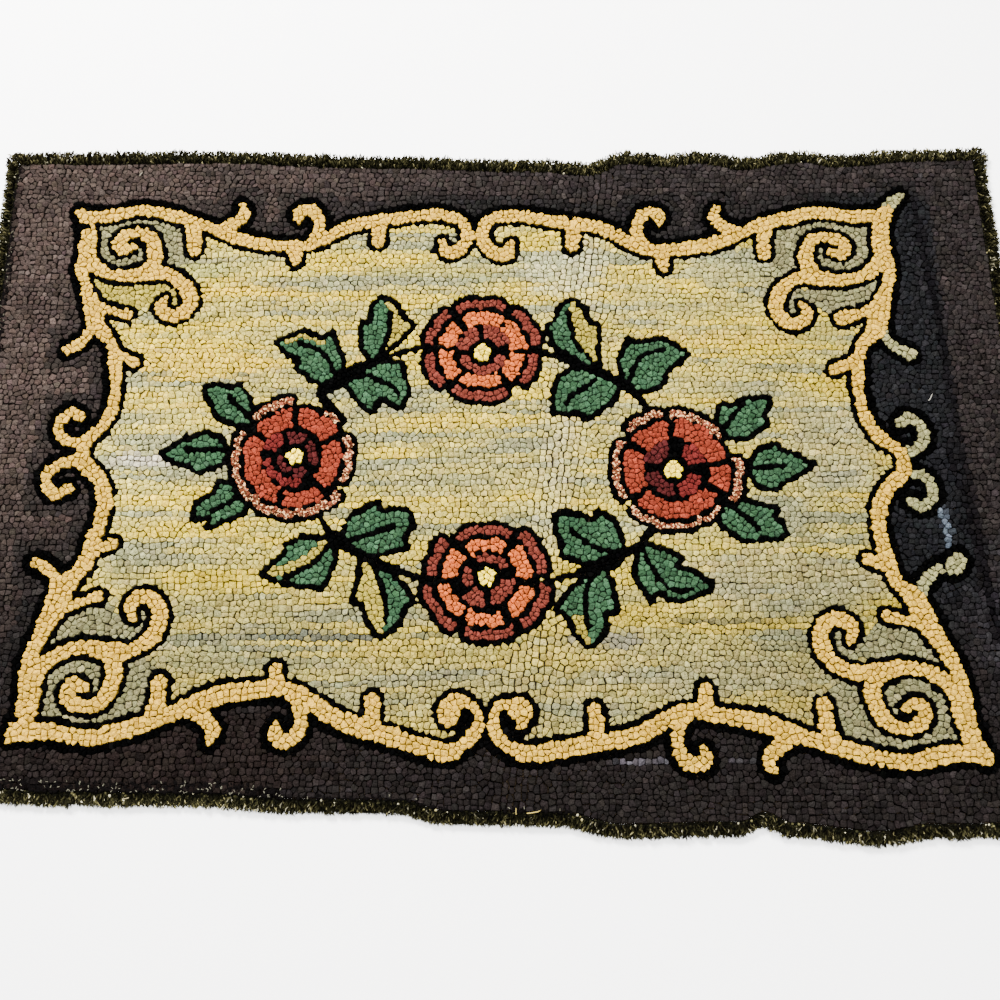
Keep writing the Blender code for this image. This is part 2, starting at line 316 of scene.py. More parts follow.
# The leaves: where a leaf starts and ends, which part of it is hooked in pale wool, and for each half the
# places along it and the widths there of its swell, its tooth, the notch behind the tooth and its shoulder.
LEAVES = (
    ((-162, 85), (-224, 128), "rim_pale", ((0.19, 12), (0.55, 11), (0.55, 3), (0.75, 5)),
     ((0.06, -21), (0.48, -41), (0.50, -30), (0.80, -25))),
    ((-127, 107), (-120, 177), "half_pale", ((0.21, 14), (0.56, 17), (0.59, 8), (0.84, 9)),
     ((0.31, -22), (0.60, -36), (0.64, -28), (0.89, -17))),
    ((-153, 86), (-98, 56), "", ((0.25, 30), (0.61, 44), (0.75, 34), (0.96, 22)),
     ((0.31, -12), (0.66, -18), (0.62, 0), (0.81, 1))),
    ((93, 97), (70, 172), "half_pale", ((0.41, 33), (0.76, 34), (0.78, 25), (0.96, 14)),
     ((0.29, -9), (0.55, -17), (0.64, -8), (0.84, -9))),
    ((117, 85), (49, 52), "", ((0.26, 15), (0.64, 22), (0.72, 11), (0.86, 8)),
     ((0.20, -17), (0.43, -31), (0.70, -32), (0.88, -18))),
    ((121, 79), (185, 115), "", ((0.11, 30), (0.39, 42), (0.46, 35), (0.80, 28)),
     ((0.19, -13), (0.45, -16), (0.60, -4), (0.81, -3))),
    ((-149, -75), (-87, -46), "", ((0.19, 19), (0.66, 22), (0.64, 12), (0.83, 9)),
     ((0.26, -25), (0.78, -31), (0.77, -22), (0.96, -14))),
    ((-160, -70), (-223, -107), "rib_pale", ((0.29, -12), (0.56, -15), (0.60, -8), (0.82, -5)),
     ((0.07, 22), (0.42, 41), (0.50, 34), (0.68, 27))),
    ((-130, -90), (-111, -166), "half_pale", ((0.34, 28), (0.66, 38), (0.71, 28), (0.87, 22)),
     ((0.26, -9), (0.50, -18), (0.57, -9), (0.77, -9))),
    ((113, -83), (50, -49), "", ((0.30, 28), (0.66, 34), (0.71, 25), (0.87, 16)),
     ((0.22, -19), (0.51, -23), (0.54, -11), (0.74, -10))),
    ((129, -79), (197, -119), "", ((0.29, 9), (0.52, 9), (0.48, 0), (0.66, 4)),
     ((0.09, -27), (0.43, -42), (0.44, -31), (0.70, -29))),
    ((94, -99), (80, -175), "tip_pale", ((0.26, 13), (0.52, 20), (0.55, 8), (0.78, 12)),
     ((0.31, -26), (0.62, -37), (0.68, -25), (0.90, -14))),
    ((-239, 42), (-291, 79), "", ((0.20, 12), (0.57, 17), (0.66, 10), (0.84, 8)),
     ((0.24, -16), (0.58, -24), (0.64, -16), (0.85, -11))),
    ((-263, 14), (-326, 11), "", ((0.07, 14), (0.43, 21), (0.55, 15), (0.80, 10)),
     ((0.08, -13), (0.37, -21), (0.50, -17), (0.78, -9))),
    ((-241, -30), (-292, -52), "", ((0.12, 16), (0.84, 16), (0.72, 7), (0.90, 5)),
     ((0.10, -14), (0.38, -24), (0.49, -15), (0.82, -12))),
    ((217, 27), (260, 68), "", ((0.08, 20), (0.37, 29), (0.45, 21), (0.71, 16)),
     ((0.25, -14), (0.67, -17), (0.70, -8), (0.88, -5))),
    ((234, -4), (297, 0), "", ((0.18, 18), (0.48, 24), (0.55, 17), (0.81, 9)),
     ((0.12, -18), (0.37, -23), (0.49, -17), (0.76, -10))),
    ((207, -37), (267, -68), "", ((0.27, 12), (0.76, 19), (0.74, 10), (0.89, 7)),
     ((0.09, -21), (0.51, -25), (0.70, -16), (0.86, -12))),
)
# The rib of each leaf, in the same order.
RIBS = (
    ((-201, 126), (-185, 121), (-173, 111), (-164, 95)),
    ((-112, 159), (-111, 146), (-113, 132), (-119, 118), (-124, 108)),
    ((-148, 89), (-133, 92), (-120, 86), (-106, 79), (-100, 72)),
    ((65, 157), (68, 142), (72, 126), (81, 113), (90, 102)),
    ((91, 86), (78, 76), (67, 68), (62, 61)),
    ((125, 86), (128, 97), (137, 112), (148, 117), (160, 119)),
    ((-144, -74), (-130, -70), (-115, -65), (-101, -60)),
    ((-160, -75), (-168, -87), (-176, -96), (-187, -102), (-199, -108)),
    ((-120, -98), (-114, -111), (-109, -124), (-107, -135), (-107, -150)),
    ((65, -66), (74, -73), (84, -80), (97, -84), (114, -84)),
    ((132, -83), (136, -95), (142, -105), (150, -116), (161, -122), (174, -121)),
    ((89, -105), (81, -113), (77, -125), (76, -136), (78, -154)),
    ((-265, 68), (-252, 56), (-242, 46)),
    ((-302, 15), (-283, 15), (-264, 14)),
    ((-273, -45), (-260, -39), (-245, -30)),
    ((235, 63), (227, 54), (215, 39)),
    ((234, -4), (252, -2), (270, 0)),
    ((213, -40), (227, -49), (239, -62)),
)
# The stems, with their half widths.
STEMS = (
    ((-66, 124, 2.4), (-90, 119, 2.4), (-121, 107, 3.2), (-140, 101, 4.0), (-162, 84, 7.5), (-176, 75, 4.4),
     (-172, 65, 4.0), (-161, 55, 3.2), (-152, 45, 2.6)),
    ((31, 118, 2.4), (54, 110, 2.6), (80, 99, 4.2), (107, 89, 4.6), (122, 80, 5.0), (137, 64, 2.8),
     (139, 57, 2.6)),
    ((-60, -115, 2.4), (-90, -105, 2.6), (-122, -92, 3.4), (-134, -87, 3.6), (-154, -73, 6.4),
     (-163, -65, 2.8), (-170, -52, 2.6)),
    ((39, -115, 2.4), (64, -108, 2.6), (85, -100, 4.0), (105, -95, 4.6), (113, -87, 3.4), (128, -80, 3.0),
     (134, -70, 3.4), (143, -61, 2.6)),
    ((226, -7, 4.0), (236, -4, 3.4)),
)
LEAF_LINE = 2.4
RIB = 2.1
STALK = 2.0
LINE_SHARES = (0.16, 0.5, 0.84)
PALE_RIM, PALE_RIM_TO = 8.5, -175
PALE_RIB, PALE_RIB_TO = 10, -212
PALE_TIP_TO = -145


def edge_field(points):
    """Distances from a closed line, less than nothing inside it."""
    field = far_field()
    closed = np.concatenate([points, points[:1], points[1:2]])
    stroke(field, np.concatenate([closed, np.zeros((len(closed), 1))], axis=1), 8.0)
    return np.where(inside(points), -field, field)


def sides_of(line):
    """How far each square near a line lies from it, and on which side: more than nothing on the left."""
    gap, side = far_field(), np.zeros(X.shape, np.float32)
    part = window(line, 45)
    for a, b in zip(line, line[1:]):
        run = b - a
        t = np.clip(((X[part] - a[0]) * run[0] + (Y[part] - a[1]) * run[1]) / (run @ run), 0, 1)
        away = np.hypot(X[part] - a[0] - t * run[0], Y[part] - a[1] - t * run[1])
        turn = run[0] * (Y[part] - a[1]) - run[1] * (X[part] - a[0])
        nearer = away < gap[part]
        gap[part] = np.where(nearer, away, gap[part])
        side[part] = np.where(nearer, turn, side[part])
    return gap, side


for (start, end, paint, left, right), rib in zip(LEAVES, RIBS):
    start, end, rib = np.array(start, float), np.array(end, float), np.array(rib, float)
    along = end - start
    across = np.array([-along[1], along[0]]) / np.hypot(*along)
    halves = []
    for half in (left, right):
        halves.append([start + along * place + across * width for place, width in half])
    outline = [start + across * STALK, *halves[0], end, *halves[1][::-1], start - across * STALK]
    soft = []
    for a, b in zip(outline, outline[1:] + outline[:1]):
        soft += [a + (b - a) * share for share in LINE_SHARES]
    field = edge_field(smooth_line(soft, 3, closed=True))
    drawing[field < LEAF_LINE] = YARN["black"]
    blade = field < -LEAF_LINE
    drawing[blade] = YARN["leaf"]
    if paint:
        if np.hypot(*(rib[0] - end)) < np.hypot(*(rib[-1] - end)):
            rib = rib[::-1]
        gap, side = sides_of(smooth_line([start, *rib, end], 3))
        pale = blade & (side <= 0)
        if paint == "rim_pale":
            pale &= (field > -PALE_RIM) & (X < PALE_RIM_TO)
        elif paint == "rib_pale":
            pale &= (gap < PALE_RIB) | (X < PALE_RIB_TO)
        elif paint == "tip_pale":
            pale &= Y < PALE_TIP_TO
        drawing[pale] = YARN["straw"]
    ink = far_field()
    stroke(ink, [(x, y, RIB) for x, y in rib], 4.0)
    drawing[ink < 0] = YARN["black"]
stems = far_field()
for stem in STEMS:
    stroke(stems, stem, 4.0)
drawing[stems < 0] = YARN["black"]

# The roses: petals as pieces of rings round each heart, in degrees and millimetres.
# columns: yarn, first edge, last edge, inner radius, outer radius, lobes of the outer edge
TOP_ROSE = (
    ("brick", 64, 121, 49, 59, 2), ("brick", 127, 171, 50, 61, 2), ("brick", 179, 223, 48, 59, 1),
    ("brick", 229, 302, 41, 53, 2), ("brick", 318, 359, 46, 57, 1), ("brick", 7, 58, 49, 60, 2),
    ("salmon", 58, 120, 29, 46, 2), ("salmon", 130, 171, 29, 46, 2), ("salmon", 175, 226, 29, 45, 2),
    ("salmon", 230, 305, 24, 39, 2), ("salmon", 311, 361, 25, 43, 2), ("salmon", 2, 58, 26, 46, 2),
    ("brick", 98, 176, 13, 29, 2), ("brick", 18, 92, 14, 31, 2), ("brick", 184, 352, 13, 25, 3),
)
BOTTOM_ROSE = (
    ("brick", 58, 130, 40, 50, 2), ("brick", 137, 181, 46, 58, 2), ("brick", 188, 240, 52, 62, 2),
    ("brick", 247, 299, 51, 61, 2), ("brick", 304, 351, 51, 62, 2), ("brick", 0, 54, 45, 57, 2),
    ("salmon", 56, 130, 24, 38, 2), ("salmon", 136, 184, 26, 43, 1), ("salmon", 190, 238, 34, 48, 2),
    ("salmon", 240, 292, 34, 48, 2), ("salmon", 299, 346, 31, 48, 2), ("salmon", -6, 50, 26, 43, 2),
    ("brick", 22, 128, 13, 23, 2), ("brick", 152, 215, 13, 24, 1), ("brick", 218, 268, 14, 31, 1),
    ("brick", 276, 352, 13, 29, 2),
)
LEFT_ROSE = (
    ("tweed", 152, 210, 54, 62, 3), ("tweed", 206, 322, 53, 62, 5), ("tweed", 330, 384, 49, 57, 2),
    ("tweed", 93, 138, 53, 62, 2), ("tweed", 41, 62, 51, 57, 1),
    ("coral", 94, 147, 29, 51, 2), ("coral", 30, 90, 28, 51, 2), ("coral", 151, 252, 32, 51, 3),
    ("coral", 257, 309, 35, 51, 2), ("coral", 311, 385, 26, 46, 2),
    ("crimson", 118, 170, 18, 33, 1), ("crimson", 180, 292, 22, 31, 2),
    ("maroon", 60, 116, 12, 26, 2), ("maroon", -30, 56, 12, 23, 2), ("maroon", 172, 258, 11, 19, 1),
    ("maroon", 262, 318, 11, 22, 1),
)
RIGHT_ROSE = (
    ("tweed", 147, 212, 52, 60, 2), ("tweed", 221, 320, 53, 60, 4), ("tweed", 329, 372, 59, 68, 2),
    ("tweed", 97, 138, 54, 63, 2), ("tweed", 34, 93, 54, 62, 3),
    ("coral", 93, 144, 29, 51, 2), ("coral", 149, 214, 28, 49, 2), ("coral", 10, 88, 33, 54, 3),
    ("coral", 335, 367, 35, 56, 1), ("coral", 219, 330, 31, 50, 4),
    ("maroon", 98, 168, 13, 31, 2), ("crimson", 12, 66, 14, 33, 1), ("crimson", 280, 350, 14, 30, 1),
    ("maroon", 182, 272, 13, 28, 2),
)
ROSES = (((-19, 116), TOP_ROSE), ((-14, -108), BOTTOM_ROSE), ((-198, 8), LEFT_ROSE), ((163, -5), RIGHT_ROSE))
HEART_RADIUS = 8.8
PETAL_GAP = 1.1
ROSE_LINE = 4.2
ROSE_MIDDLE = 46
ROSE_REACH = 82
LOBE_DIP = 0.12
HEART_LOBES = 5
HEART_DIP = 0.08
LOBE_SHAPE = 0.7
EVEN_LOBES = 24


def grown(mask, by):
    """A mask made wider all round, with round corners."""
    wide = mask.copy()
    steps = int(by / GRID)
    for row in range(-steps, steps + 1):
        reach = int(math.sqrt(max(0, (by / GRID) ** 2 - row * row)))
        for column in range(-reach, reach + 1):
            wide |= np.roll(mask, (row, column), (0, 1))
    return wide


for (cx, cy), petals in ROSES:
    part = window([(cx, cy)], ROSE_REACH)
    radius = np.hypot(X[part] - cx, Y[part] - cy)
    turn = np.degrees(np.arctan2(Y[part] - cy, X[part] - cx))
    piece = np.zeros(radius.shape, np.uint8)
    for yarn, first, last, inner, outer, lobes in petals:
        swing = (turn - first) % 360
        share = np.clip(swing / (last - first), 0, 1)
        dip = 1 - np.abs(np.sin(np.pi * lobes * share)) ** LOBE_SHAPE
        edge = outer * (1 - LOBE_DIP * dip * (EVEN_LOBES / max(EVEN_LOBES, outer))) - PETAL_GAP * 0.4
        inner_edge = inner * (1 - 0.5 * LOBE_DIP * dip) + PETAL_GAP * 0.4
        margin = np.degrees(PETAL_GAP / np.maximum(radius, 4))
        petal = (swing > margin) & (swing < last - first - margin) & (radius > inner_edge) & (radius < edge)
        piece[petal] = YARN[yarn]
    piece[radius < HEART_RADIUS * (1 + HEART_DIP * np.sin(np.radians(turn * HEART_LOBES)))] = YARN["heart"]
    disc = grown(piece > 0, ROSE_LINE) | (radius < ROSE_MIDDLE)
    target = drawing[part]
    target[disc] = YARN["black"]
    target[piece > 0] = piece[piece > 0]


# The foundation: one piece of plain woven burlap that every loop is hooked through. It lies on the floor and
# lifts a little over the old fold and the puckers. Its raw edge is turned under and hidden by the edging.
MM = 0.001
CLOTH_CLEAR = 0.55
CLOTH_THICK = 1.3
CLOTH_INSET = 0.1
CLOTH_CELLS = (100, 68)
CLOTH_HALF = (497, 320)
BURLAP = (0.060, 0.043, 0.026)
BURLAP_DARK = (0.020, 0.014, 0.009)
THREADS = 130.0
THREAD_HEIGHT = 0.0006
PROBE_STEP = 4.0
PROBE_START = 0.1
BAKE_MARGIN = 0.01


def surface_heights(node, from_above):
    """Heights of a solid's upper or lower face over a coarse grid, in millimetres."""
    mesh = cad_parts[node].data
    tree = BVHTree.FromPolygons([v.co.copy() for v in mesh.vertices], [p.vertices[:] for p in mesh.polygons])
    px = np.arange(-REACH_X, REACH_X + PROBE_STEP, PROBE_STEP)
    py = np.arange(-REACH_Y, REACH_Y + PROBE_STEP, PROBE_STEP)
    heights = np.full((len(py), len(px)), np.nan)
    start, down = (PROBE_START, -1) if from_above else (-PROBE_START, 1)
    for row, y in enumerate(py):
        for column, x in enumerate(px):
            hit = tree.ray_cast((x * MM, y * MM, start), (0, 0, down))[0]
            if hit:
                heights[row, column] = hit.z / MM
    while np.isnan(heights).any():
        known = np.where(np.isnan(heights), 0, heights)
        weight = (~np.isnan(heights)).astype(float)
        total = sum(np.roll(known, shift, axis) for axis in (0, 1) for shift in (-1, 1))
        count = sum(np.roll(weight, shift, axis) for axis in (0, 1) for shift in (-1, 1))
        spread = np.isnan(heights) & (count > 0)
        heights[spread] = (total / np.maximum(count, 1))[spread]
    return heights


def height_at(heights, x, y):
    """The height at a place, in line with the four nearest places of the coarse grid."""
    column = np.clip((np.asarray(x) + REACH_X) / PROBE_STEP, 0, heights.shape[1] - 1.001)
    row = np.clip((np.asarray(y) + REACH_Y) / PROBE_STEP, 0, heights.shape[0] - 1.001)
    c, r = column.astype(int), row.astype(int)
    u, v = column - c, row - r
    return (heights[r, c] * (1 - u) * (1 - v) + heights[r, c + 1] * u * (1 - v)
            + heights[r + 1, c] * (1 - u) * v + heights[r + 1, c + 1] * u * v)


pile_top = surface_heights("hooked_field", True)
cloth_base = surface_heights("hooked_field", False)


def make_mesh(name, points, faces, smooth=True, colours=None):
    """A mesh from points in millimetres and faces, with a colour for each point and a flat bake layout."""
    mesh = bpy.data.meshes.new(name)
    sizes = np.concatenate([np.full(len(f), f.shape[1]) for f in faces])
    corners = np.concatenate([f.ravel() for f in faces])
    mesh.vertices.add(len(points))
    mesh.vertices.foreach_set("co", (points * MM).astype(np.float32).ravel())
    mesh.loops.add(len(corners))
    mesh.loops.foreach_set("vertex_index", corners.astype(np.int32))
    mesh.polygons.add(len(sizes))
    mesh.polygons.foreach_set("loop_start", np.concatenate([[0], np.cumsum(sizes)[:-1]]).astype(np.int32))
    mesh.update(calc_edges=True)
    mesh.polygons.foreach_set("use_smooth", np.full(len(sizes), smooth))
    if colours is not None:
        layer = mesh.color_attributes.new("yarn", "FLOAT_COLOR", "POINT")
        layer.data.foreach_set("color", np.concatenate([colours, np.ones((len(colours), 1))], axis=1)
                               .astype(np.float32).ravel())
    low, high = points[:, :2].min(axis=0), points[:, :2].max(axis=0)
    flat = (points[:, :2] - low) / (high - low) * (1 - 2 * BAKE_MARGIN) + BAKE_MARGIN
    mesh.uv_layers.new(name="OFBake").data.foreach_set("uv", flat[corners].astype(np.float32).ravel())
    piece = bpy.data.objects.new(name, mesh)
    bpy.context.scene.collection.objects.link(piece)
    return piece


class Field:
    """A shader socket that takes part in arithmetic."""
    tree = None

    def __init__(self, socket):
        self.socket = socket

    @classmethod
    def node(cls, kind, output, settings=None, **inputs):
        """One output of a new node, whose settings are made before its sockets get their values and links."""
        made = cls.tree.nodes.new(kind)
        for key, value in (settings or {}).items():
            setattr(made, key, value)
        for key, value in inputs.items():
            key = key.replace("_", " ")
            socket = made.inputs[int(key[1:])] if key[0] == "i" and key[1:].isdigit() else made.inputs[key]
            if isinstance(value, Field):
                cls.tree.links.new(value.socket, socket)
            elif isinstance(value, tuple) and socket.type == "RGBA":
                socket.default_value = (*value, 1)
            else:
                socket.default_value = value
        return Field(made.outputs[output])

    def maths(self, operation, other):
        return Field.node("ShaderNodeMath", 0, {"operation": operation}, i0=self, i1=other)

    def __add__(self, other):
        return self.maths("ADD", other)

    def __mul__(self, other):
        return self.maths("MULTIPLY", other)

    def __gt__(self, other):
        return self.maths("GREATER_THAN", other)

    __radd__ = __add__
    __rmul__ = __mul__


def blend_colour(share, a, b):
    """Two colours mixed by a share, each a colour or a socket."""
    return Field.node("ShaderNodeMix", 2, {"data_type": "RGBA"}, i0=share, i6=a, i7=b)


def finish_of(name, roughness):
    """A new matte material with its shader's constant values set, ready for what varies."""
    material = bpy.data.materials.new(name)
    material.use_nodes = True
    Field.tree = material.node_tree
    shader = material.node_tree.nodes["Principled BSDF"]
    shader.inputs["Roughness"].default_value = roughness
    shader.inputs["Specular IOR Level"].default_value = 0.0
    return material, shader


def connect(field, socket):
    Field.tree.links.new(field.socket, socket)


def bumped(height, distance, strength=1.0):
    return Field.node("ShaderNodeBump", "Normal", Height=height, Distance=distance, Strength=strength)


def burlap_finish():
    """Plain weave: the warp and the weft are two sets of bands across each other."""
    material, shader = finish_of("burlap", 0.9)
    place = Field.node("ShaderNodeTexCoord", "Object")
    warp, weft = (Field.node("ShaderNodeTexWave", "Fac", {"bands_direction": direction}, Vector=place,
                             Scale=THREADS, Distortion=1.5, Detail=2.0, Detail_Scale=1.2)
                  for direction in ("X", "Y"))
    weave = warp * weft
    connect(blend_colour(weave, BURLAP_DARK, BURLAP), shader.inputs["Base Color"])
    connect(bumped(weave, THREAD_HEIGHT), shader.inputs["Normal"])
    return material


def lattice(columns, rows):
    """Quads between the points of a grid, row by row."""
    first = (np.arange(rows - 1)[:, None] * columns + np.arange(columns - 1)).ravel()
    return np.stack([first, first + 1, first + columns + 1, first + columns], axis=1)


def cloth_points():
    """Places on the cloth from rim to rim, on a net that is stretched to its outline."""
    u = np.linspace(-1, 1, CLOTH_CELLS[0] + 1)
    v = np.linspace(-1, 1, CLOTH_CELLS[1] + 1)
    U, V = np.meshgrid(u, v)
    x, y = U * CLOTH_HALF[0], V * CLOTH_HALF[1]
    for _ in range(3):
        left, right = -rim_at(LEFT_RIM, y) + CLOTH_INSET, rim_at(RIGHT_RIM, y) - CLOTH_INSET
        x = left + (right - left) * (U + 1) / 2
        near, far = -rim_at(NEAR_RIM, x) + CLOTH_INSET, rim_at(FAR_RIM, x) - CLOTH_INSET
        y = near + (far - near) * (V + 1) / 2
    return x, y


cloth_x, cloth_y = cloth_points()
cloth_columns, cloth_rows = CLOTH_CELLS[0] + 1, CLOTH_CELLS[1] + 1
under = height_at(cloth_base, cloth_x, cloth_y) + CLOTH_CLEAR
lower = np.stack([cloth_x, cloth_y, under], axis=-1).reshape(-1, 3)
upper = lower + (0, 0, CLOTH_THICK)
count = len(lower)
net = lattice(cloth_columns, cloth_rows)
index = np.arange(count).reshape(cloth_rows, cloth_columns)
loop_round = np.concatenate([index[0, :-1], index[:-1, -1], index[-1, :0:-1], index[:0:-1, 0]])
after = np.roll(loop_round, -1)
rim_faces = np.stack([loop_round, after, after + count, loop_round + count], axis=1)
cloth_faces = [net[:, ::-1], net + count, rim_faces]
foundation = make_mesh("foundation_cloth", np.concatenate([lower, upper]), cloth_faces)
foundation.data.materials.append(burlap_finish())
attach(foundation, "root")
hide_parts("hooked_field")


# The pile: some twenty thousand loops of woollen strip, pulled up through the burlap one beside the other.
# Plain areas are hooked in rows along the rug, outlines and motifs follow their own shape, and over the old
# fold the loops stand apart in lines along it.
rng = np.random.default_rng(7)
ROW = 5.15
PITCH = 5.7
ROW_JITTER = (0.7, 0.55)
ROW_SWAY = ((1.5, 83, 0.21), (0.8, 31, 0.6))
SPACING = {"black": 3.7, "scroll": 4.8, "sage": 4.8, "fill": 4.9, "leaf": 4.6, "straw": 4.6, "brick": 4.3,
           "salmon": 4.3, "coral": 4.4, "crimson": 4.2, "maroon": 4.2, "tweed": 3.9, "heart": 3.9}
FOLD = ((0.100, 0.325), (0.008, -0.320))
FOLD_REACH = 24.0
FOLD_PITCH = (5.8, 6.3)
FOLD_JITTER = (0.3, 0.4)
FOLD_SWAY = (0.8, 37)
DEEPEST = 12
CLAIM_STEPS = (6, 4, 3, 2, 1, 1)
SETTLING = 4
FIRST_PULL, LATER_PULL = 0.6, 0.9
UNSETTLED = 0.62
CROWDING = 0.5
LOOP_SIDES = 7
LEAST_CELL = 9.0
LEAST_LOOP = 5.0
LONGEST_CORNER = 1.55
BARE_CORNER = 0.8
FOLD_FADE = 34


def fold_distance(x, y):
    """How far to the right of the old fold a place lies."""
    (fx, fy), (nx, ny) = FOLD
    return np.asarray(x) - (fx + (np.asarray(y) * MM - fy) * (nx - fx) / (ny - fy)) / MM


def square_at(x, y):
    """The row and column of the square at a place."""
    column = np.clip(((x + REACH_X) / GRID).astype(int), 0, X.shape[1] - 1)
    row = np.clip(((y + REACH_Y) / GRID).astype(int), 0, X.shape[0] - 1)
    return row, column


def hooked_rows():
    """Places in rows along the rug, and in lines along the fold near it."""
    places = []
    for number, y in enumerate(np.arange(-REACH_Y, REACH_Y, ROW)):
        x = np.arange(-REACH_X, REACH_X, PITCH) + rng.uniform(0, PITCH)
        x = x + rng.normal(0, ROW_JITTER[0], len(x))
        sway = sum(wide * np.sin(x / long + number * shift) for wide, long, shift in ROW_SWAY)
        row = np.stack([x, y + sway + rng.normal(0, ROW_JITTER[1], len(x))], axis=1)
        places.append(row[np.abs(fold_distance(row[:, 0], row[:, 1])) > FOLD_REACH])
    for line in np.arange(-FOLD_REACH + FOLD_PITCH[0] / 2, FOLD_REACH, FOLD_PITCH[0]):
        y = np.arange(-REACH_Y, REACH_Y, FOLD_PITCH[1]) + rng.uniform(0, FOLD_PITCH[1])
        y = y + rng.normal(0, FOLD_JITTER[1], len(y))
        x = line - fold_distance(0, y) + rng.normal(0, FOLD_JITTER[0], len(y))
        x = x + FOLD_SWAY[0] * np.sin(y / FOLD_SWAY[1] + line)
        places.append(np.stack([x, y], axis=1))
    places = np.concatenate(places)
    kinds = drawing[square_at(places[:, 0], places[:, 1])]
    keep = (kinds == YARN["ground"]) | (kinds == YARN["border"])
    return places[keep], kinds[keep]


def depth_within():
    """How many squares each square lies within its own yarn, up to a few millimetres."""
    depth = np.zeros(X.shape, np.uint8)
    core = np.ones(X.shape, bool)
    core[[0, -1]] = False
    core[:, [0, -1]] = False
    for ring in range(DEEPEST):
        solid = core.copy()
        for axis in (0, 1):
            for shift in (-1, 1):
                solid &= (np.roll(drawing, shift, axis) == drawing) & np.roll(core, shift, axis)
        depth[solid] = ring + 1
        core = solid
    return depth


def hooked_along(yarn, spacing, depth):
    """Places that follow a motif's shape: a row just inside its edge, and then further in."""
    rows, columns = np.nonzero(drawing == YARN[yarn])
    inward = depth[rows, columns] * GRID
    wish = np.round(np.abs((inward % spacing) - spacing / 2) / GRID)
    order = np.lexsort((columns, rows, inward // spacing, wish))
    free = np.ones(X.shape, bool)
    reach = int(spacing / GRID)
    span = np.arange(-reach, reach + 1)
    near = np.hypot(*np.meshgrid(span, span)) * GRID < spacing
    places = []
    for row, column in zip(rows[order].tolist(), columns[order].tolist()):
        if free[row, column]:
            places.append((rug_xs[column], rug_ys[row]))
            free[row - reach:row + reach + 1, column - reach:column + reach + 1] &= ~near
    return np.array(places).reshape(-1, 2)


def claim(places, kinds, own_yarn, swell):
    """Which loop takes up each square: the nearest one, of the square's own yarn only or of any yarn."""
    px, py = places[:, 0].astype(np.float32), places[:, 1].astype(np.float32)
    owner = np.full(X.shape, -1, np.int32)
    nearest = np.full(X.shape, 1e9, np.float32)
    owner[square_at(px, py)] = np.arange(len(places))
    height, width = X.shape
    for step in CLAIM_STEPS:
        for dr, dc in ((0, step), (0, -step), (step, 0), (-step, 0), (step, step), (-step, -step),
                       (step, -step), (-step, step)):
            to = (slice(max(0, -dr), height - max(0, dr)), slice(max(0, -dc), width - max(0, dc)))
            out = (slice(max(0, dr), height + min(0, dr)), slice(max(0, dc), width + min(0, dc)))
            candidate = owner[out]
            away = np.hypot(RUG_X[to] - px[candidate], RUG_Y[to] - py[candidate]) - swell[candidate]
            fits = kinds[candidate] == drawing[to] if own_yarn else drawing[to] > 0
            better = (candidate >= 0) & fits & (away < nearest[to])
            owner[to] = np.where(better, candidate, owner[to])
            nearest[to] = np.where(better, away, nearest[to])
    if own_yarn:
        owner[(owner >= 0) & (kinds[owner] != drawing)] = -1
    return owner


def centres(owner, count):
    """How many squares each loop has, and their middle."""
    taken = owner >= 0
    who = owner[taken]
    squares = np.bincount(who, minlength=count)
    x = np.bincount(who, RUG_X[taken], count) / np.maximum(squares, 1)
    y = np.bincount(who, RUG_Y[taken], count) / np.maximum(squares, 1)
    return squares, np.stack([x, y], axis=1)


loop_places, loop_kinds = hooked_rows()
depth = depth_within()
for yarn, spacing in SPACING.items():
    followed = hooked_along(yarn, spacing, depth)
    loop_places = np.concatenate([loop_places, followed])
    loop_kinds = np.concatenate([loop_kinds, np.full(len(followed), YARN[yarn], np.uint8)])
for turn in range(SETTLING):
    owner = claim(loop_places, loop_kinds, True, np.zeros(len(loop_places), np.float32))
    squares, middle = centres(owner, len(loop_places))
    pull = LATER_PULL if turn else FIRST_PULL
    loop_places = np.where(squares[:, None] > 0, loop_places + (middle - loop_places) * pull, loop_places)
    if turn % 2:
        keep = squares * GRID * GRID > LEAST_CELL
        loop_places, loop_kinds = loop_places[keep], loop_kinds[keep]
# Last of all the loops crowd one another over the drawn lines, which leaves the edges of every shape jagged.
loop_places = loop_places + rng.normal(0, UNSETTLED, loop_places.shape)
owner = claim(loop_places, loop_kinds, False, rng.normal(0, CROWDING, len(loop_places)).astype(np.float32))
squares, middle = centres(owner, len(loop_places))

# Each loop fills the room it has: its corners are the farthest of its own squares, in seven directions.
total = len(loop_places)
taken = owner >= 0
who = owner[taken]
dx, dy = RUG_X[taken] - middle[who, 0], RUG_Y[taken] - middle[who, 1]
spread_xx = np.bincount(who, dx * dx, total)
spread_yy = np.bincount(who, dy * dy, total)
spread_xy = np.bincount(who, dx * dy, total)
lie = 0.5 * np.arctan2(2 * spread_xy, spread_xx - spread_yy)
spoke = (np.round((np.arctan2(dy, dx) - lie[who]) / (2 * math.pi / LOOP_SIDES)).astype(int)) % LOOP_SIDES
mean_reach = np.sqrt(squares * GRID * GRID / math.pi)[:, None]
around = lie[:, None] + np.arange(LOOP_SIDES) * 2 * math.pi / LOOP_SIDES
corners = np.stack([np.cos(around), np.sin(around)], axis=-1) * BARE_CORNER * mean_reach[:, :, None]
length = np.hypot(dx, dy)
nearest_first = np.argsort(length, kind="stable")
longer = (1 + GRID * 0.4 / np.maximum(length, GRID))[:, None]
ends = np.stack([dx, dy], axis=-1) * longer
corners.reshape(-1, 2)[(who * LOOP_SIDES + spoke)[nearest_first]] = ends[nearest_first]
length = np.hypot(corners[..., 0], corners[..., 1])
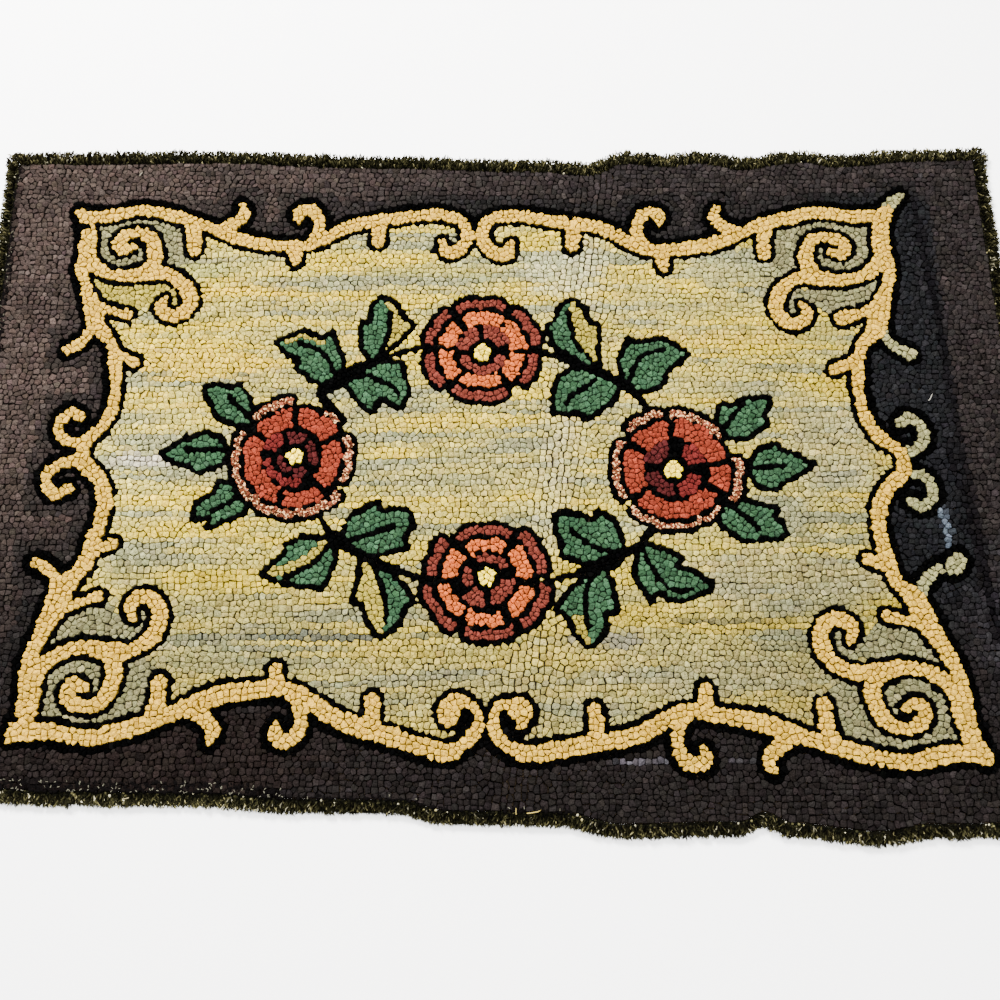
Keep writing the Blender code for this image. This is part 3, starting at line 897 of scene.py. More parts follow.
corners *= (np.minimum(length, LONGEST_CORNER * mean_reach) / np.maximum(length, 0.1))[..., None]
whole = squares * GRID * GRID > LEAST_LOOP
in_rows = np.isin(loop_kinds, (YARN["ground"], YARN["border"]))
on_fold = np.clip(1 - np.abs(fold_distance(middle[:, 0], middle[:, 1])) / FOLD_FADE, 0, 1) * in_rows

# Two rings of points up each loop: share of its height, share of its outline, how much of its colour shows
# under the painted shade that darkens the cracks between loops, and how unevenly. Round a motif's loops that
# painted shade is lighter, and each crown carries a painted highlight. Each loop has its own height, tilt and
# crown.
RINGS = ((0.34, 1.05, 0.16, 0.55), (0.88, 0.90, 0.90, 0.07))
MOTIF_CRACK_SHADE = 0.40
CROWN_HIGHLIGHT = 1.08
CROWN_DRIFT = 0.30
UNEVEN_HEIGHT = 0.36
UNEVEN_RING = 0.12
UNEVEN_OUTLINE = 0.05
TILT = 0.17
LEAN_SHARE = 0.25
FOLD_SQUEEZE = 0.14
ROOTED = 0.8


def loop_mesh(name, chosen, colours):
    """The loops of one yarn as one mesh."""
    picked = np.nonzero(chosen)[0]
    middle_x, middle_y = middle[picked, 0], middle[picked, 1]
    dice = np.random.default_rng(len(picked))
    foot = height_at(cloth_base, middle_x, middle_y) + CLOTH_CLEAR + CLOTH_THICK * ROOTED
    top = height_at(pile_top, middle_x, middle_y) + dice.normal(0, UNEVEN_HEIGHT, len(picked))
    tilt = dice.normal(0, TILT, (len(picked), 2))
    lean = dice.normal(0, CROWN_DRIFT, (len(picked), 2)) * mean_reach[picked]
    squeeze = 1 - FOLD_SQUEEZE * on_fold[picked]
    outline_size = (len(picked), LOOP_SIDES)
    points, painted_shades = [], []
    for height, share, shade, spread in RINGS:
        out = corners[picked] * (share * (1 + dice.normal(0, UNEVEN_OUTLINE, outline_size)))[..., None]
        x = middle_x[:, None] + out[..., 0] * squeeze[:, None] + lean[:, :1] * height * LEAN_SHARE
        y = middle_y[:, None] + out[..., 1] + lean[:, 1:] * height * LEAN_SHARE
        z = (foot + (top - foot) * height)[:, None] + dice.normal(0, UNEVEN_RING, x.shape) * (height > 0.5)
        z += ((x - middle_x[:, None]) * tilt[:, :1] + (y - middle_y[:, None]) * tilt[:, 1:]) * (height > 0.5)
        points.append(np.stack([x, y, z], axis=-1))
        # Painted shade: the foot ring is darkened, unevenly from corner to corner, to stand for the shade in
        # the cracks between loops.
        shade = np.where(in_rows[picked], shade, max(shade, MOTIF_CRACK_SHADE))
        painted_shades.append(shade[:, None] * np.exp(dice.normal(0, spread, outline_size)))
    # Painted highlight: the crown is made a little lighter than the loop's dye.
    crown = np.stack([middle_x + lean[:, 0], middle_y + lean[:, 1], top], axis=-1)[:, None]
    points = np.concatenate([*points, crown], axis=1)
    painted_shades = np.concatenate([*painted_shades, np.full((len(picked), 1), CROWN_HIGHLIGHT)], axis=1)
    each = points.shape[1]
    side = np.arange(LOOP_SIDES)
    beside = (side + 1) % LOOP_SIDES
    walls = []
    for ring in range(len(RINGS) - 1):
        low, high = ring * LOOP_SIDES, (ring + 1) * LOOP_SIDES
        walls.append(np.stack([low + side, low + beside, high + beside, high + side], axis=1))
    last = (len(RINGS) - 1) * LOOP_SIDES
    cap = np.stack([last + side, last + beside, np.full(LOOP_SIDES, each - 1)], axis=1)
    shift = (np.arange(len(picked)) * each)[:, None, None]
    quads = (np.concatenate(walls)[None] + shift).reshape(-1, 4)
    caps = (cap[None] + shift).reshape(-1, 3)
    paint = np.clip(colours[picked][:, None, :] * painted_shades[..., None], 0, 1)
    return make_mesh(name, points.reshape(-1, 3), [quads, caps], False, paint.reshape(-1, 3))


DRIFT_START = (31.7, 29.3)


def dye(red, green, blue):
    """A dye as it is seen, from 0 to 255, turned into light."""
    tone = np.array([red, green, blue]) / 255
    return np.where(tone < 0.04045, tone / 12.92, ((tone + 0.055) / 1.055) ** 2.4)


def drift(x, y, wide, high, seed):
    """Slow changes from 0 to 1 over the rug, wide by high millimetres."""
    table = np.random.default_rng(seed).random((64, 64))
    gx, gy = np.asarray(x) / wide + DRIFT_START[0], np.asarray(y) / high + DRIFT_START[1]
    ix, iy = np.floor(gx).astype(int), np.floor(gy).astype(int)
    u, v = ease(0, 1, gx - ix), ease(0, 1, gy - iy)
    a, b = table[iy % 64, ix % 64], table[iy % 64, (ix + 1) % 64]
    c, d = table[(iy + 1) % 64, ix % 64], table[(iy + 1) % 64, (ix + 1) % 64]
    return (a * (1 - u) + b * u) * (1 - v) + (c * (1 - u) + d * u) * v


def laid_over(colours, share, tone):
    """Colours drawn towards a dye by each loop's share."""
    return colours + (tone - colours) * np.asarray(share)[:, None]


# The runs of other wool in the ground.
# columns: middle x, middle y, half length, half height, dye, strength
GROUND_RUNS = (
    (-282, 181, 120, 9, (160, 134, 32), 0.9), (-300, 105, 110, 22, (160, 134, 34), 0.85),
    (-40, 205, 150, 12, (102, 102, 66), 0.6), (60, 203, 60, 30, (130, 128, 96), 0.7),
    (250, 205, 110, 26, (104, 106, 80), 0.7), (-340, 4, 44, 9, (138, 130, 116), 0.7),
    (-175, -163, 125, 4.5, (48, 54, 54), 0.95), (205, -149, 75, 3.5, (54, 54, 42), 0.8),
    (92, -167, 46, 9, (82, 82, 80), 0.8), (-235, -187, 100, 14, (92, 92, 62), 0.7),
    (-180, -221, 120, 10, (94, 92, 60), 0.65), (290, -170, 80, 14, (92, 94, 70), 0.6),
    (-31, 46, 120, 9, (154, 132, 36), 0.65), (200, 130, 120, 12, (150, 126, 40), 0.6),
    (70, -205, 140, 10, (132, 116, 48), 0.4), (-320, 205, 60, 14, (108, 110, 62), 0.6),
    (250, -110, 130, 34, (104, 104, 84), 0.6), (190, -200, 170, 22, (102, 102, 80), 0.6),
    (320, 20, 60, 60, (112, 110, 86), 0.55), (-40, -15, 110, 26, (122, 114, 66), 0.5),
)
# The same for the border: two corners of other wool and stray paler rows, then the lines at the right.
BORDER_RUNS = (
    (480, -160, 60, 110, (26, 25, 27), 0.7), (-300, -265, 190, 60, (19, 14.5, 13), 0.7),
    (126, -274, 36, 3.0, (54, 52, 56), 0.6), (211, -272, 18, 2.4, (50, 48, 50), 0.55),
)
DARK_LINES = (((425, 285), (432, 172), (451, -167)), ((429, 24), (440, -60), (451, -167)))
PALE_LINE = ((413, -45), (417, -70), (416, -88))
ROUGH_ENDS = (26, 5.6)
ROUGHNESS = 0.55


def run_colours(colours, x, y, runs, seed):
    """Colours with the runs of a table laid over them, each with rough ends."""
    for number, (cx, cy, length, height, tone, strength) in enumerate(runs):
        rough = drift(x, y, *ROUGH_ENDS, seed + number) - 0.5
        within = 1 - np.sqrt(((x - cx) / length) ** 2 + ((y - cy) / height) ** 2) + rough * ROUGHNESS
        colours = laid_over(colours, ease(0.0, 0.5, within) * strength, dye(*tone))
    return colours


def near_line(x, y, line):
    """How far places lie from a line of straight pieces."""
    gap = np.full(len(x), 1e9)
    for (ax, ay), (bx, by) in zip(line, line[1:]):
        t = np.clip(((x - ax) * (bx - ax) + (y - ay) * (by - ay)) / ((bx - ax) ** 2 + (by - ay) ** 2), 0, 1)
        gap = np.minimum(gap, np.hypot(x - ax - t * (bx - ax), y - ay - t * (by - ay)))
    return gap


# The dyes as they are seen, from 0 to 255.
GROUND = (133, 121, 60)
GROUND_YELLOW = (152, 131, 38)
GROUND_GREY = (100, 99, 72)
NEAR_GREY = (126, 122, 90)
FOLD_HIGHLIGHT = (150, 144, 112)
BORDER_BROWN = (42, 35, 32)
BORDER_COOL = (24, 21, 20.5)
BORDER_NEAR = (18, 15.5, 15)
CHARCOAL = (14, 14, 14)
BLUE_BLACK = (14, 14.6, 16.2)
RIM_BLACK = (3, 2, 2)
LINE_BLACK = (8, 7, 8)
LINE_PALE = (60, 66, 74)
PLAIN_DYES = {"black": (2, 2, 2), "scroll": (154, 121, 38), "sage": (100, 97, 65), "fill": (85, 82, 56),
              "leaf": (35, 56, 38), "straw": (116, 104, 40), "brick": (77, 34, 27),
              "salmon": (142, 67, 30), "coral": (94, 36, 24), "crimson": (70, 23, 21),
              "maroon": (49, 18, 18), "tweed": (80, 40, 26), "heart": (206, 180, 38)}
UNEVEN = {"ground": 0.15, "border": 0.22, "black": 0.3, "scroll": 0.09, "leaf": 0.22, "tweed": 0.3}
UNEVEN_ELSE = 0.15
UNEVEN_HUE = 0.12
# Where the wool of the ground changes along the rug or across it, and where painted highlight and painted
# shade lie on it, in millimetres, and how strongly.
YELLOW_STREAKS, GREY_STREAKS, STREAKED = (0.50, 0.70), (0.50, 0.30), 0.95
FOLD_HIGHLIGHT_REACH, FOLD_HIGHLIGHT_FROM, FOLD_HIGHLIGHTED = 26, (-260, 60), 0.35
NEAR_GREY_FROM, NEAR_GREYED = (-110, -210), 0.3
NEAR_DARK_FROM, NEAR_SHADED = (-30, -200), 0.31
RIGHT_DARK_FROM, RIGHT_SHADED = (120, 330), 0.18
LEFT_PALE_FROM, MIDDLE_PALE_FROM, LEFT_LIT = (-240, -360), (110, 30), 0.22
# The same for the border.
BORDER_PATCHES = 0.35
BROWN_TO_COOL = (-470, 60)
COOL_TO_NEAR = (60, -230)
NEAR_SEWN, NEAR_SEWN_TO, NEAR_SEWN_DARK = (12, 6), -190, 0.9
LEFT_SEWN, LEFT_SEWN_DARK = (7, 3), 0.7
BESIDE_SCROLL, BESIDE_SCROLL_PATCHES = (32, 20), 12
BESIDE_SCROLL_FROM, BESIDE_SCROLL_DARK = (-210, -150), 0.6
BROWN_CORNER = ((-300, -360), (150, 190))
BLUE_ZONE, BLUED = (((300, 350), (444, 436)), ((-200, -90), (300, 280))), 0.85
DARK_LINE_EDGE, DARK_LINE_STRENGTH = (6, 2.5), 0.8
PALE_LINE_EDGE, PALE_LINE_STRENGTH = (5, 2), 0.7

mx, my = middle[:, 0], middle[:, 1]
loop_colours = np.zeros((total, 3))
for yarn, tone in PLAIN_DYES.items():
    loop_colours[loop_kinds == YARN[yarn]] = dye(*tone)
ground = loop_kinds == YARN["ground"]
along, across = to_chart(mx[ground], my[ground])
streak = 0.5 * drift(along, across, 170, 15, 11) + 0.5 * drift(along, across, 60, 5.4, 12)
tones = np.tile(dye(*GROUND), (ground.sum(), 1))
tones = laid_over(tones, ease(*YELLOW_STREAKS, streak) * STREAKED, dye(*GROUND_YELLOW))
tones = laid_over(tones, ease(*GREY_STREAKS, streak) * STREAKED, dye(*GROUND_GREY))
tones = run_colours(tones, along, across, GROUND_RUNS, 40)
# A painted highlight along the ridge of the old fold, stronger towards the far side.
pale = np.clip(1 - np.abs(fold_distance(mx[ground], my[ground])) / FOLD_HIGHLIGHT_REACH, 0, 1)
tones = laid_over(tones, pale * ease(*FOLD_HIGHLIGHT_FROM, across) * FOLD_HIGHLIGHTED, dye(*FOLD_HIGHLIGHT))
tones = laid_over(tones, NEAR_GREYED * ease(*NEAR_GREY_FROM, across), dye(*NEAR_GREY))
# Painted shade darkens the near and right parts of the ground, and painted light makes the left middle paler.
painted_shade = NEAR_SHADED * ease(*NEAR_DARK_FROM, across) + RIGHT_SHADED * ease(*RIGHT_DARK_FROM, along)
painted_light = LEFT_LIT * ease(*LEFT_PALE_FROM, along) * ease(*MIDDLE_PALE_FROM, abs(across))
loop_colours[ground] = tones * (1 - painted_shade + painted_light)[:, None]

border = loop_kinds == YARN["border"]
along, across = to_chart(mx[border], my[border])
tones = np.tile(dye(*BORDER_BROWN), (border.sum(), 1))
patchy = BORDER_PATCHES * (drift(along, across, 60, 12, 21) - 0.5)
tones = laid_over(tones, np.clip(ease(*BROWN_TO_COOL, along) + patchy, 0, 1), dye(*BORDER_COOL))
tones = laid_over(tones, np.clip(ease(*COOL_TO_NEAR, across) + patchy, 0, 1), dye(*BORDER_NEAR))
off_near = my[border] + rim_at(NEAR_RIM, mx[border])
off_left = mx[border] + rim_at(LEFT_RIM, my[border])
sewn = ease(*NEAR_SEWN, off_near) * (mx[border] < NEAR_SEWN_TO)
tones = laid_over(tones, sewn * NEAR_SEWN_DARK, dye(*RIM_BLACK))
tones = laid_over(tones, ease(*LEFT_SEWN, off_left) * LEFT_SEWN_DARK, dye(*RIM_BLACK))
off_scroll = every_scroll[square_at(mx[border], my[border])] + BESIDE_SCROLL_PATCHES * patchy
beside_scroll = ease(*BESIDE_SCROLL, off_scroll) * ease(*BESIDE_SCROLL_FROM, across)
beside_scroll *= 1 - ease(*BROWN_CORNER[0], along) * ease(*BROWN_CORNER[1], across)
tones = laid_over(tones, beside_scroll * BESIDE_SCROLL_DARK, dye(*CHARCOAL))
blue_share = math.prod(ease(*step, along) for step in BLUE_ZONE[0])
blue_share = blue_share * math.prod(ease(*step, across) for step in BLUE_ZONE[1])
tones = laid_over(tones, blue_share * BLUED, dye(*BLUE_BLACK))
tones = run_colours(tones, along, across, BORDER_RUNS, 70)
for line in DARK_LINES:
    dark = ease(*DARK_LINE_EDGE, near_line(along, across, line))
    tones = laid_over(tones, dark * DARK_LINE_STRENGTH, dye(*LINE_BLACK))
pale = ease(*PALE_LINE_EDGE, near_line(along, across, PALE_LINE))
tones = laid_over(tones, pale * PALE_LINE_STRENGTH, dye(*LINE_PALE))
loop_colours[border] = tones
for number, yarn in enumerate(YARNS):
    mine = loop_kinds == number
    uneven = UNEVEN.get(yarn, UNEVEN_ELSE)
    loop_colours[mine] *= np.exp(rng.normal(0, uneven, mine.sum()))[:, None]
    loop_colours[mine] *= 1 + rng.normal(0, uneven * UNEVEN_HUE, (mine.sum(), 3))
loop_colours = np.clip(loop_colours, 0.0005, 0.95)


FIBRES = 760.0
FLECKS = 420.0
FLECK_ABOVE = 0.56
LUMPS = 330.0
FIBRE_SHARE = 0.7
BUMP_STRENGTH = 0.9
WOOL_BUMP = 0.0014
TWEED_FLECK = (182, 140, 98)


def dyed_yarn():
    """The dye that each point of a mesh carries, with painted shade and highlight laid into it."""
    return Field.node("ShaderNodeAttribute", "Color", {"attribute_name": "yarn"})


def wool_finish(name, fibre=0.42, fleck=None):
    """Dull wool with short fibres; each loop has its own dye with painted shade and highlight, kept on its
    points.
    """
    material, shader = finish_of(name, 0.95)
    dyed = dyed_yarn()
    place = Field.node("ShaderNodeTexCoord", "Object")
    fuzz = Field.node("ShaderNodeTexNoise", "Fac", Vector=place, Scale=FIBRES, Detail=2.0, Roughness=0.6)
    light = Field.node("ShaderNodeMapRange", "Result", Value=fuzz, From_Min=0.3, From_Max=0.7,
                       To_Min=1.0 - fibre, To_Max=1.0 + fibre)
    colour = Field.node("ShaderNodeVectorMath", 0, {"operation": "SCALE"}, i0=dyed, Scale=light)
    if fleck:
        speck = Field.node("ShaderNodeTexNoise", "Fac", Vector=place, Scale=FLECKS, Detail=1.0)
        colour = blend_colour(speck > FLECK_ABOVE, colour, tuple(dye(*fleck)))
    connect(colour, shader.inputs["Base Color"])
    lumps = Field.node("ShaderNodeTexNoise", "Fac", Vector=place, Scale=LUMPS, Detail=1.0)
    connect(bumped(fuzz * FIBRE_SHARE + lumps, WOOL_BUMP, BUMP_STRENGTH), shader.inputs["Normal"])
    return material


loop_wool = wool_finish("hooked_wool")
tweed_wool = wool_finish("tweed_wool", 0.5, TWEED_FLECK)
HALVES_MEET = 20
left_half = mx < HALVES_MEET
PILE = {
    "loops_ground_left": ground & left_half, "loops_ground_right": ground & ~left_half,
    "loops_border_left": border & left_half, "loops_border_right": border & ~left_half,
}
for yarn in SPACING:
    PILE["loops_" + yarn] = loop_kinds == YARN[yarn]
for name, chosen in PILE.items():
    piece = loop_mesh(name, chosen & whole, loop_colours)
    piece.data.materials.append(tweed_wool if name == "loops_tweed" else loop_wool)
    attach(piece, "root")
    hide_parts("hooked_field")


# The edging: a length of brush fringe along each side, a narrow woven heading sewn to the rim and short cut
# ends of dark tweed yarn that stand out from it. Small dark and pale knots show where the heading is sewn on.
HEADING_START = 0.1
HEADING_WIDTH = 4.4
HEADING_HEIGHT = 5.6
HEADING_STEP = 6.0
KNOT_PITCH = 2.6
KNOT_SIZE = 1.45
KNOT_ROWS = (1.1, 3.3)
ENDS_PER_MM = 6.6
CORNER_ENDS = 170
EDGING_DYES = ((18, 17, 9), (31, 30, 18), (8, 8, 5), (51, 49, 30), (80, 76, 49), (116, 109, 74),
               (150, 144, 118))
# columns: side, length of the fringe, its height, where it starts, and the shares of the dyes above in its
# ends and in its knots
EDGINGS = (
    ("far", 13.4, 7.0, -2.6,
     (0.26, 0.30, 0.14, 0.17, 0.09, 0.03, 0.01), (0.30, 0.26, 0.30, 0.06, 0.04, 0.01, 0.03)),
    ("near", 11.0, 5.2, 1.0,
     (0.30, 0.26, 0.24, 0.10, 0.06, 0.02, 0.02), (0.20, 0.08, 0.64, 0.03, 0.02, 0.01, 0.02)),
    ("left", 11.0, 6.6, 1.6,
     (0.22, 0.24, 0.16, 0.19, 0.12, 0.05, 0.02), (0.20, 0.08, 0.60, 0.03, 0.02, 0.01, 0.06)),
    ("right", 12.4, 6.6, 0.0,
     (0.30, 0.28, 0.20, 0.12, 0.06, 0.02, 0.02), (0.26, 0.12, 0.52, 0.03, 0.02, 0.01, 0.04)),
)
# The rim of each side, which way it faces, and where its edging starts and ends.
SIDES = {"far": (FAR_RIM, 1.0, (-497.8, 489.0)), "near": (NEAR_RIM, -1.0, (-499.5, 495.0)),
         "left": (LEFT_RIM, -1.0, (-297.0, 322.0)), "right": (RIGHT_RIM, 1.0, (-323.0, 327.0))}
# A cut end: how thick it is, how far its first and second half reach, and how it bends, hooks and leans.
END_GIRTH = (0.45, 0.85)
END_HALVES = (0.55, 0.45)
END_BEND, END_HOOK, END_LEAN = 0.75, 0.55, 0.42
SIDEWAYS = (0.30, 0.45)
END_REACH = (3.6, 6.4)
CORNER_END_REACH = (3.2, 5.6)
END_TOP = 9.6
ROOT_LIFT, ROOT_FALL = 0.8, 2.6
ROOTS_OUT = 0.6
# Painted shade at the root of a cut end and a painted highlight at its tip, and painted light that grows from
# the heading out to the fringe's edge.
END_SHADE_AND_HIGHLIGHT = (0.25, 0.85, 1.9)
INNER_PAINTED_LIGHT, OUTER_PAINTED_LIGHT = 0.45, 0.85
NEAR_LIGHT, NEAR_LIGHT_FROM = 0.7, (-150, -230)
BAND_DYE = (10, 9, 6)
CORE_DYE = (8, 8, 5)
# Where the sewing runs in over the edge of the pile.
# columns: side, from, to, how far in, knots per millimetre, share of pale ones
SEWING = (("near", -498, -190, 9.0, 2.8, 0.09), ("near", -190, 60, 3.5, 0.6, 0.05),
          ("left", -290, 250, 5.5, 1.4, 0.12), ("left", 250, 318, 3.0, 0.6, 0.06))
SEWING_DARK = (6, 5, 5)
SEWING_PALE = (88, 86, 74)
SEWING_SIZES = (0.5, 1.7)
SEWING_STITCH = 0.65
SEWING_DEPTH = 2.2
# Loose lengths of yarn that stick out: where each starts, which way it points, how long and high it is, and
# its dye.
LOOSE_YARNS = {
    "near": (((21, -317), 3, 13, 9.4, (150, 132, 72)), ((12, -318), 80, 6, 9.2, (140, 124, 70)),
             ((-435, -300), 225, 15, 5.0, (12, 12, 8)), ((-322, -304), 200, 6, 8.0, (120, 112, 84))),
    "far": (((12, 316), 75, 16, 8.6, (128, 118, 60)), ((-372, 308), 60, 5, 9.4, (150, 144, 126))),
    "right": (((409, 61), 50, 9, 9.8, (120, 118, 110)),),
    "left": (),
}


def along_side(side, s):
    """Points on the seam at places along a side, and the way out from the rug there."""
    rim, facing, _ = SIDES[side]
    slope = (rim_at(rim, s + 1) - rim_at(rim, s - 1)) / 2
    point = np.stack([s, rim_at(rim, s) * facing], axis=1)
    out = np.stack([-slope, np.full(len(s), facing)], axis=1)
    if side in ("left", "right"):
        point, out = point[:, ::-1], out[:, ::-1]
    return point, out / np.hypot(out[:, 0], out[:, 1])[:, None]


def yarn_shares(dice, count, shares):
    """A dye for each of some ends or knots, in the given shares and a little uneven."""
    tones = np.array([dye(*tone) for tone in EDGING_DYES])
    picked = dice.choice(len(tones), count, p=np.array(shares) / sum(shares))
    return tones[picked] * np.exp(dice.normal(0, 0.2, count))[:, None]


def strand_rings(places, heights, girths, beside):
    """Three points round a strand at each of its places."""
    rings = []
    for place, height, girth in zip(places, heights, girths):
        for turn in range(3):
            angle = turn * 2 * math.pi / 3 + math.pi / 2
            rings.append(np.concatenate([place + beside * (girth * math.cos(angle))[:, None],
                                         np.maximum(height + girth * math.sin(angle), 0.15)[:, None]], axis=1))
    return rings


def strand_faces(count, rings):
    """Walls between the rings of each strand, and its pointed end."""
    each = rings * 3 + 1
    shift = (np.arange(count) * each)[:, None, None]
    turn = np.arange(3)
    after = (turn + 1) % 3
    walls = [np.stack([r * 3 + turn, r * 3 + after, r * 3 + 3 + after, r * 3 + 3 + turn], axis=1)
             for r in range(rings - 1)]
    last = (rings - 1) * 3
    ends = np.stack([last + turn, last + after, np.full(3, each - 1)], axis=1)
    walls = (np.concatenate(walls)[None] + shift).reshape(-1, 4) if walls else np.zeros((0, 4), int)
    return walls, (ends[None] + shift).reshape(-1, 3)


def root_heights(height, share, dice):
    """How high the ends start: lower and lower towards the fringe's edge."""
    return ROOT_LIFT + (height - ROOT_FALL * share) * dice.uniform(0.25, 1.0, len(share)) ** 0.5


def curled(root, ahead, beside, reach, low, dice):
    """Points of short curled ends: each rises from its root, bends once, and ends in a point."""
    count = len(root)
    thick = dice.uniform(*END_GIRTH, count)
    bend = dice.normal(0, END_BEND, count)
    joint = root + ahead * (reach * END_HALVES[0])[:, None] + beside * (bend * reach * SIDEWAYS[0])[:, None]
    hook = dice.normal(0, END_HOOK, count) - bend * 0.5
    tip = joint + ahead * (reach * END_HALVES[1])[:, None] + beside * (hook * reach * SIDEWAYS[1])[:, None]
    joint_high = low + dice.uniform(0.2, 1.9, count)
    tip_high = np.clip(joint_high + dice.normal(-0.6, 1.2, count), 0.4, END_TOP)
    rings = strand_rings((root, joint), (low, joint_high), (thick, thick * 1.15), beside)
    return np.stack([*rings, np.concatenate([tip, tip_high[:, None]], axis=1)], axis=1)


def cut_ends(side, length, height, first, dice):
    """The brush of cut ends: short curls that start anywhere between the heading and the fringe's edge."""
    start, end = SIDES[side][2]
    number = int((end - start) * ENDS_PER_MM)
    s = np.sort(dice.uniform(start, end, number))
    root, out = along_side(side, s)
    beside = np.stack([-out[:, 1], out[:, 0]], axis=1)
    uneven = 0.22 * drift(s, s * 0, 9, 10, 5) + 0.12 * drift(s, s * 0, 3, 10, 6)
    full = HEADING_WIDTH * ROOTS_OUT + length * (0.86 + uneven)
    reach = dice.uniform(*END_REACH, number)
    share = dice.uniform(0, 1, number) ** 0.8
    from_seam = first + (full - reach * 0.9 - first) * share
    lean = dice.normal(0, END_LEAN, number) + 0.25 * np.sin(s / 2.6 + 2 * np.sin(s / 11))
    ahead = out + beside * lean[:, None]
    ahead /= np.hypot(ahead[:, 0], ahead[:, 1])[:, None]
    low = root_heights(height, share, dice)
    root = root + out * from_seam[:, None]
    # Painted light: ends further out from the heading are lighter, in lit and shaded clumps. At the near left
    # the wool itself is paler too.
    light = INNER_PAINTED_LIGHT + OUTER_PAINTED_LIGHT * share * (0.5 + drift(s, s * 0, 21, 10, 7))
    if side == "near":
        light = light * (1 + NEAR_LIGHT * ease(*NEAR_LIGHT_FROM, s))
    return root, ahead, beside, reach, low, light


def corner_ends(side, length, height, dice):
    """The ends that fill the fringe round the two ends of a far or near side."""
    parts = []
    for place, toward in zip(SIDES[side][2], (-1.0, 1.0)) if side in ("far", "near") else ():
        seam, out = along_side(side, np.full(CORNER_ENDS, place))
        turn = dice.uniform(-0.15, math.pi / 2 + 0.15, CORNER_ENDS)
        ahead = np.stack([np.sin(turn) * toward, np.cos(turn) * np.sign(out[:, 1])], axis=1)
        beside = np.stack([-ahead[:, 1], ahead[:, 0]], axis=1)
        reach = dice.uniform(*CORNER_END_REACH, CORNER_ENDS)
        share = dice.uniform(0, 1, CORNER_ENDS) ** 0.6
        full = HEADING_WIDTH * ROOTS_OUT + length * (1.0 + 0.2 * np.sin(2 * turn))
        root = seam + ahead * ((full - reach * 0.9) * share)[:, None]
        low = root_heights(height, share, dice)
        # Painted light, as along the side: the ends further out are lighter.
        light = INNER_PAINTED_LIGHT + OUTER_PAINTED_LIGHT * share * dice.uniform(0.5, 1.5, CORNER_ENDS)
        parts.append((root, ahead, beside, reach, low, light))
    return parts


def brush(side, length, height, first, shares, dice):
    """All the cut ends of a side."""
    parts = [cut_ends(side, length, height, first, dice), *corner_ends(side, length, height, dice)]
    root, ahead, beside, reach, low, light = (np.concatenate(values) for values in zip(*parts))
    points = curled(root, ahead, beside, reach, low, dice)
    # Painted shade at each end's root and a painted highlight at its tip.
    root_shade, joint_shade, tip_highlight = END_SHADE_AND_HIGHLIGHT
    along = np.array([root_shade] * 3 + [joint_shade] * 3 + [tip_highlight])
    paint = (yarn_shares(dice, len(root), shares) * light[:, None])[:, None, :] * along[None, :, None]
    return points.reshape(-1, 3), *strand_faces(len(root), 2), paint.reshape(-1, 3)


def edge_band(side, section, beyond, tone):
    """A closed band along a side, in one dye, from a section of distances out from the seam and heights."""
    start, end = SIDES[side][2]
    s = np.linspace(start - beyond, end + beyond, int((end - start) / HEADING_STEP) + 2)
    seam, out = along_side(side, s)
    points = np.stack([np.concatenate([seam + out * away, np.full((len(s), 1), high)], axis=1)
                       for away, high in section], axis=1)
    count, each = points.shape[:2]
    first = (np.arange(count - 1) * each)[:, None]
    turn = np.arange(each)
    after = (turn + 1) % each
    quads = np.stack([first + turn, first + after, first + each + after, first + each + turn], axis=2)
    return (points.reshape(-1, 3), quads.reshape(-1, 4), np.zeros((0, 3), int),
            np.tile(dye(*tone), (count * each, 1)))


def fringe_core(side, length):
    """The matted roots of the fringe, low on the floor and dark."""
    section = ((HEADING_WIDTH * 0.8, 0.3), (HEADING_WIDTH * 0.8, 4.2), (length * 0.75, 3.0),
               (length * 0.98, 0.9), (length * 0.98, 0.3))
    return edge_band(side, section, 2, CORE_DYE)


def heading_band(side):
    """The heading itself: a flat dark band that follows the rim."""
    section = ((HEADING_START, 0.4), (HEADING_START, HEADING_HEIGHT * 0.8),
               (HEADING_WIDTH, HEADING_HEIGHT * 0.7), (HEADING_WIDTH, 0.4))
    return edge_band(side, section, 0, BAND_DYE)


def knots(place, base, high, size, tones, dice):
    """Small six-sided lumps at the given places."""
    turn = np.arange(6) * math.pi / 3
    points, paint = [], []
    # Painted shade on each knot's foot ring and a painted highlight on its crown.
    for height, share, light in ((0.0, 1.0, 0.45), (0.72, 0.86, 0.9)):
        around = size[:, None] * share * (1 + dice.normal(0, 0.1, (len(place), 6)))
        x = place[:, :1] + around * np.cos(turn)
        y = place[:, 1:] + around * np.sin(turn)
        z = np.repeat((base + (high - base) * height)[:, None], 6, axis=1)
        points.append(np.stack([x, y, np.maximum(z, 0.3)], axis=-1))
        paint.append(np.repeat((tones * light)[:, None], 6, axis=1))
    points.append(np.concatenate([place, high[:, None]], axis=1)[:, None])
    paint.append(tones[:, None] * 1.1)
    points, paint = np.concatenate(points, axis=1), np.concatenate(paint, axis=1)
    side_number = np.arange(6)
    after = (side_number + 1) % 6
    wall = np.stack([side_number, after, 6 + after, 6 + side_number], axis=1)
    cap = np.stack([6 + side_number, 6 + after, np.full(6, 12)], axis=1)
    shift = (np.arange(len(place)) * 13)[:, None, None]
    return (points.reshape(-1, 3), (wall[None] + shift).reshape(-1, 4), (cap[None] + shift).reshape(-1, 3),
            paint.reshape(-1, 3))


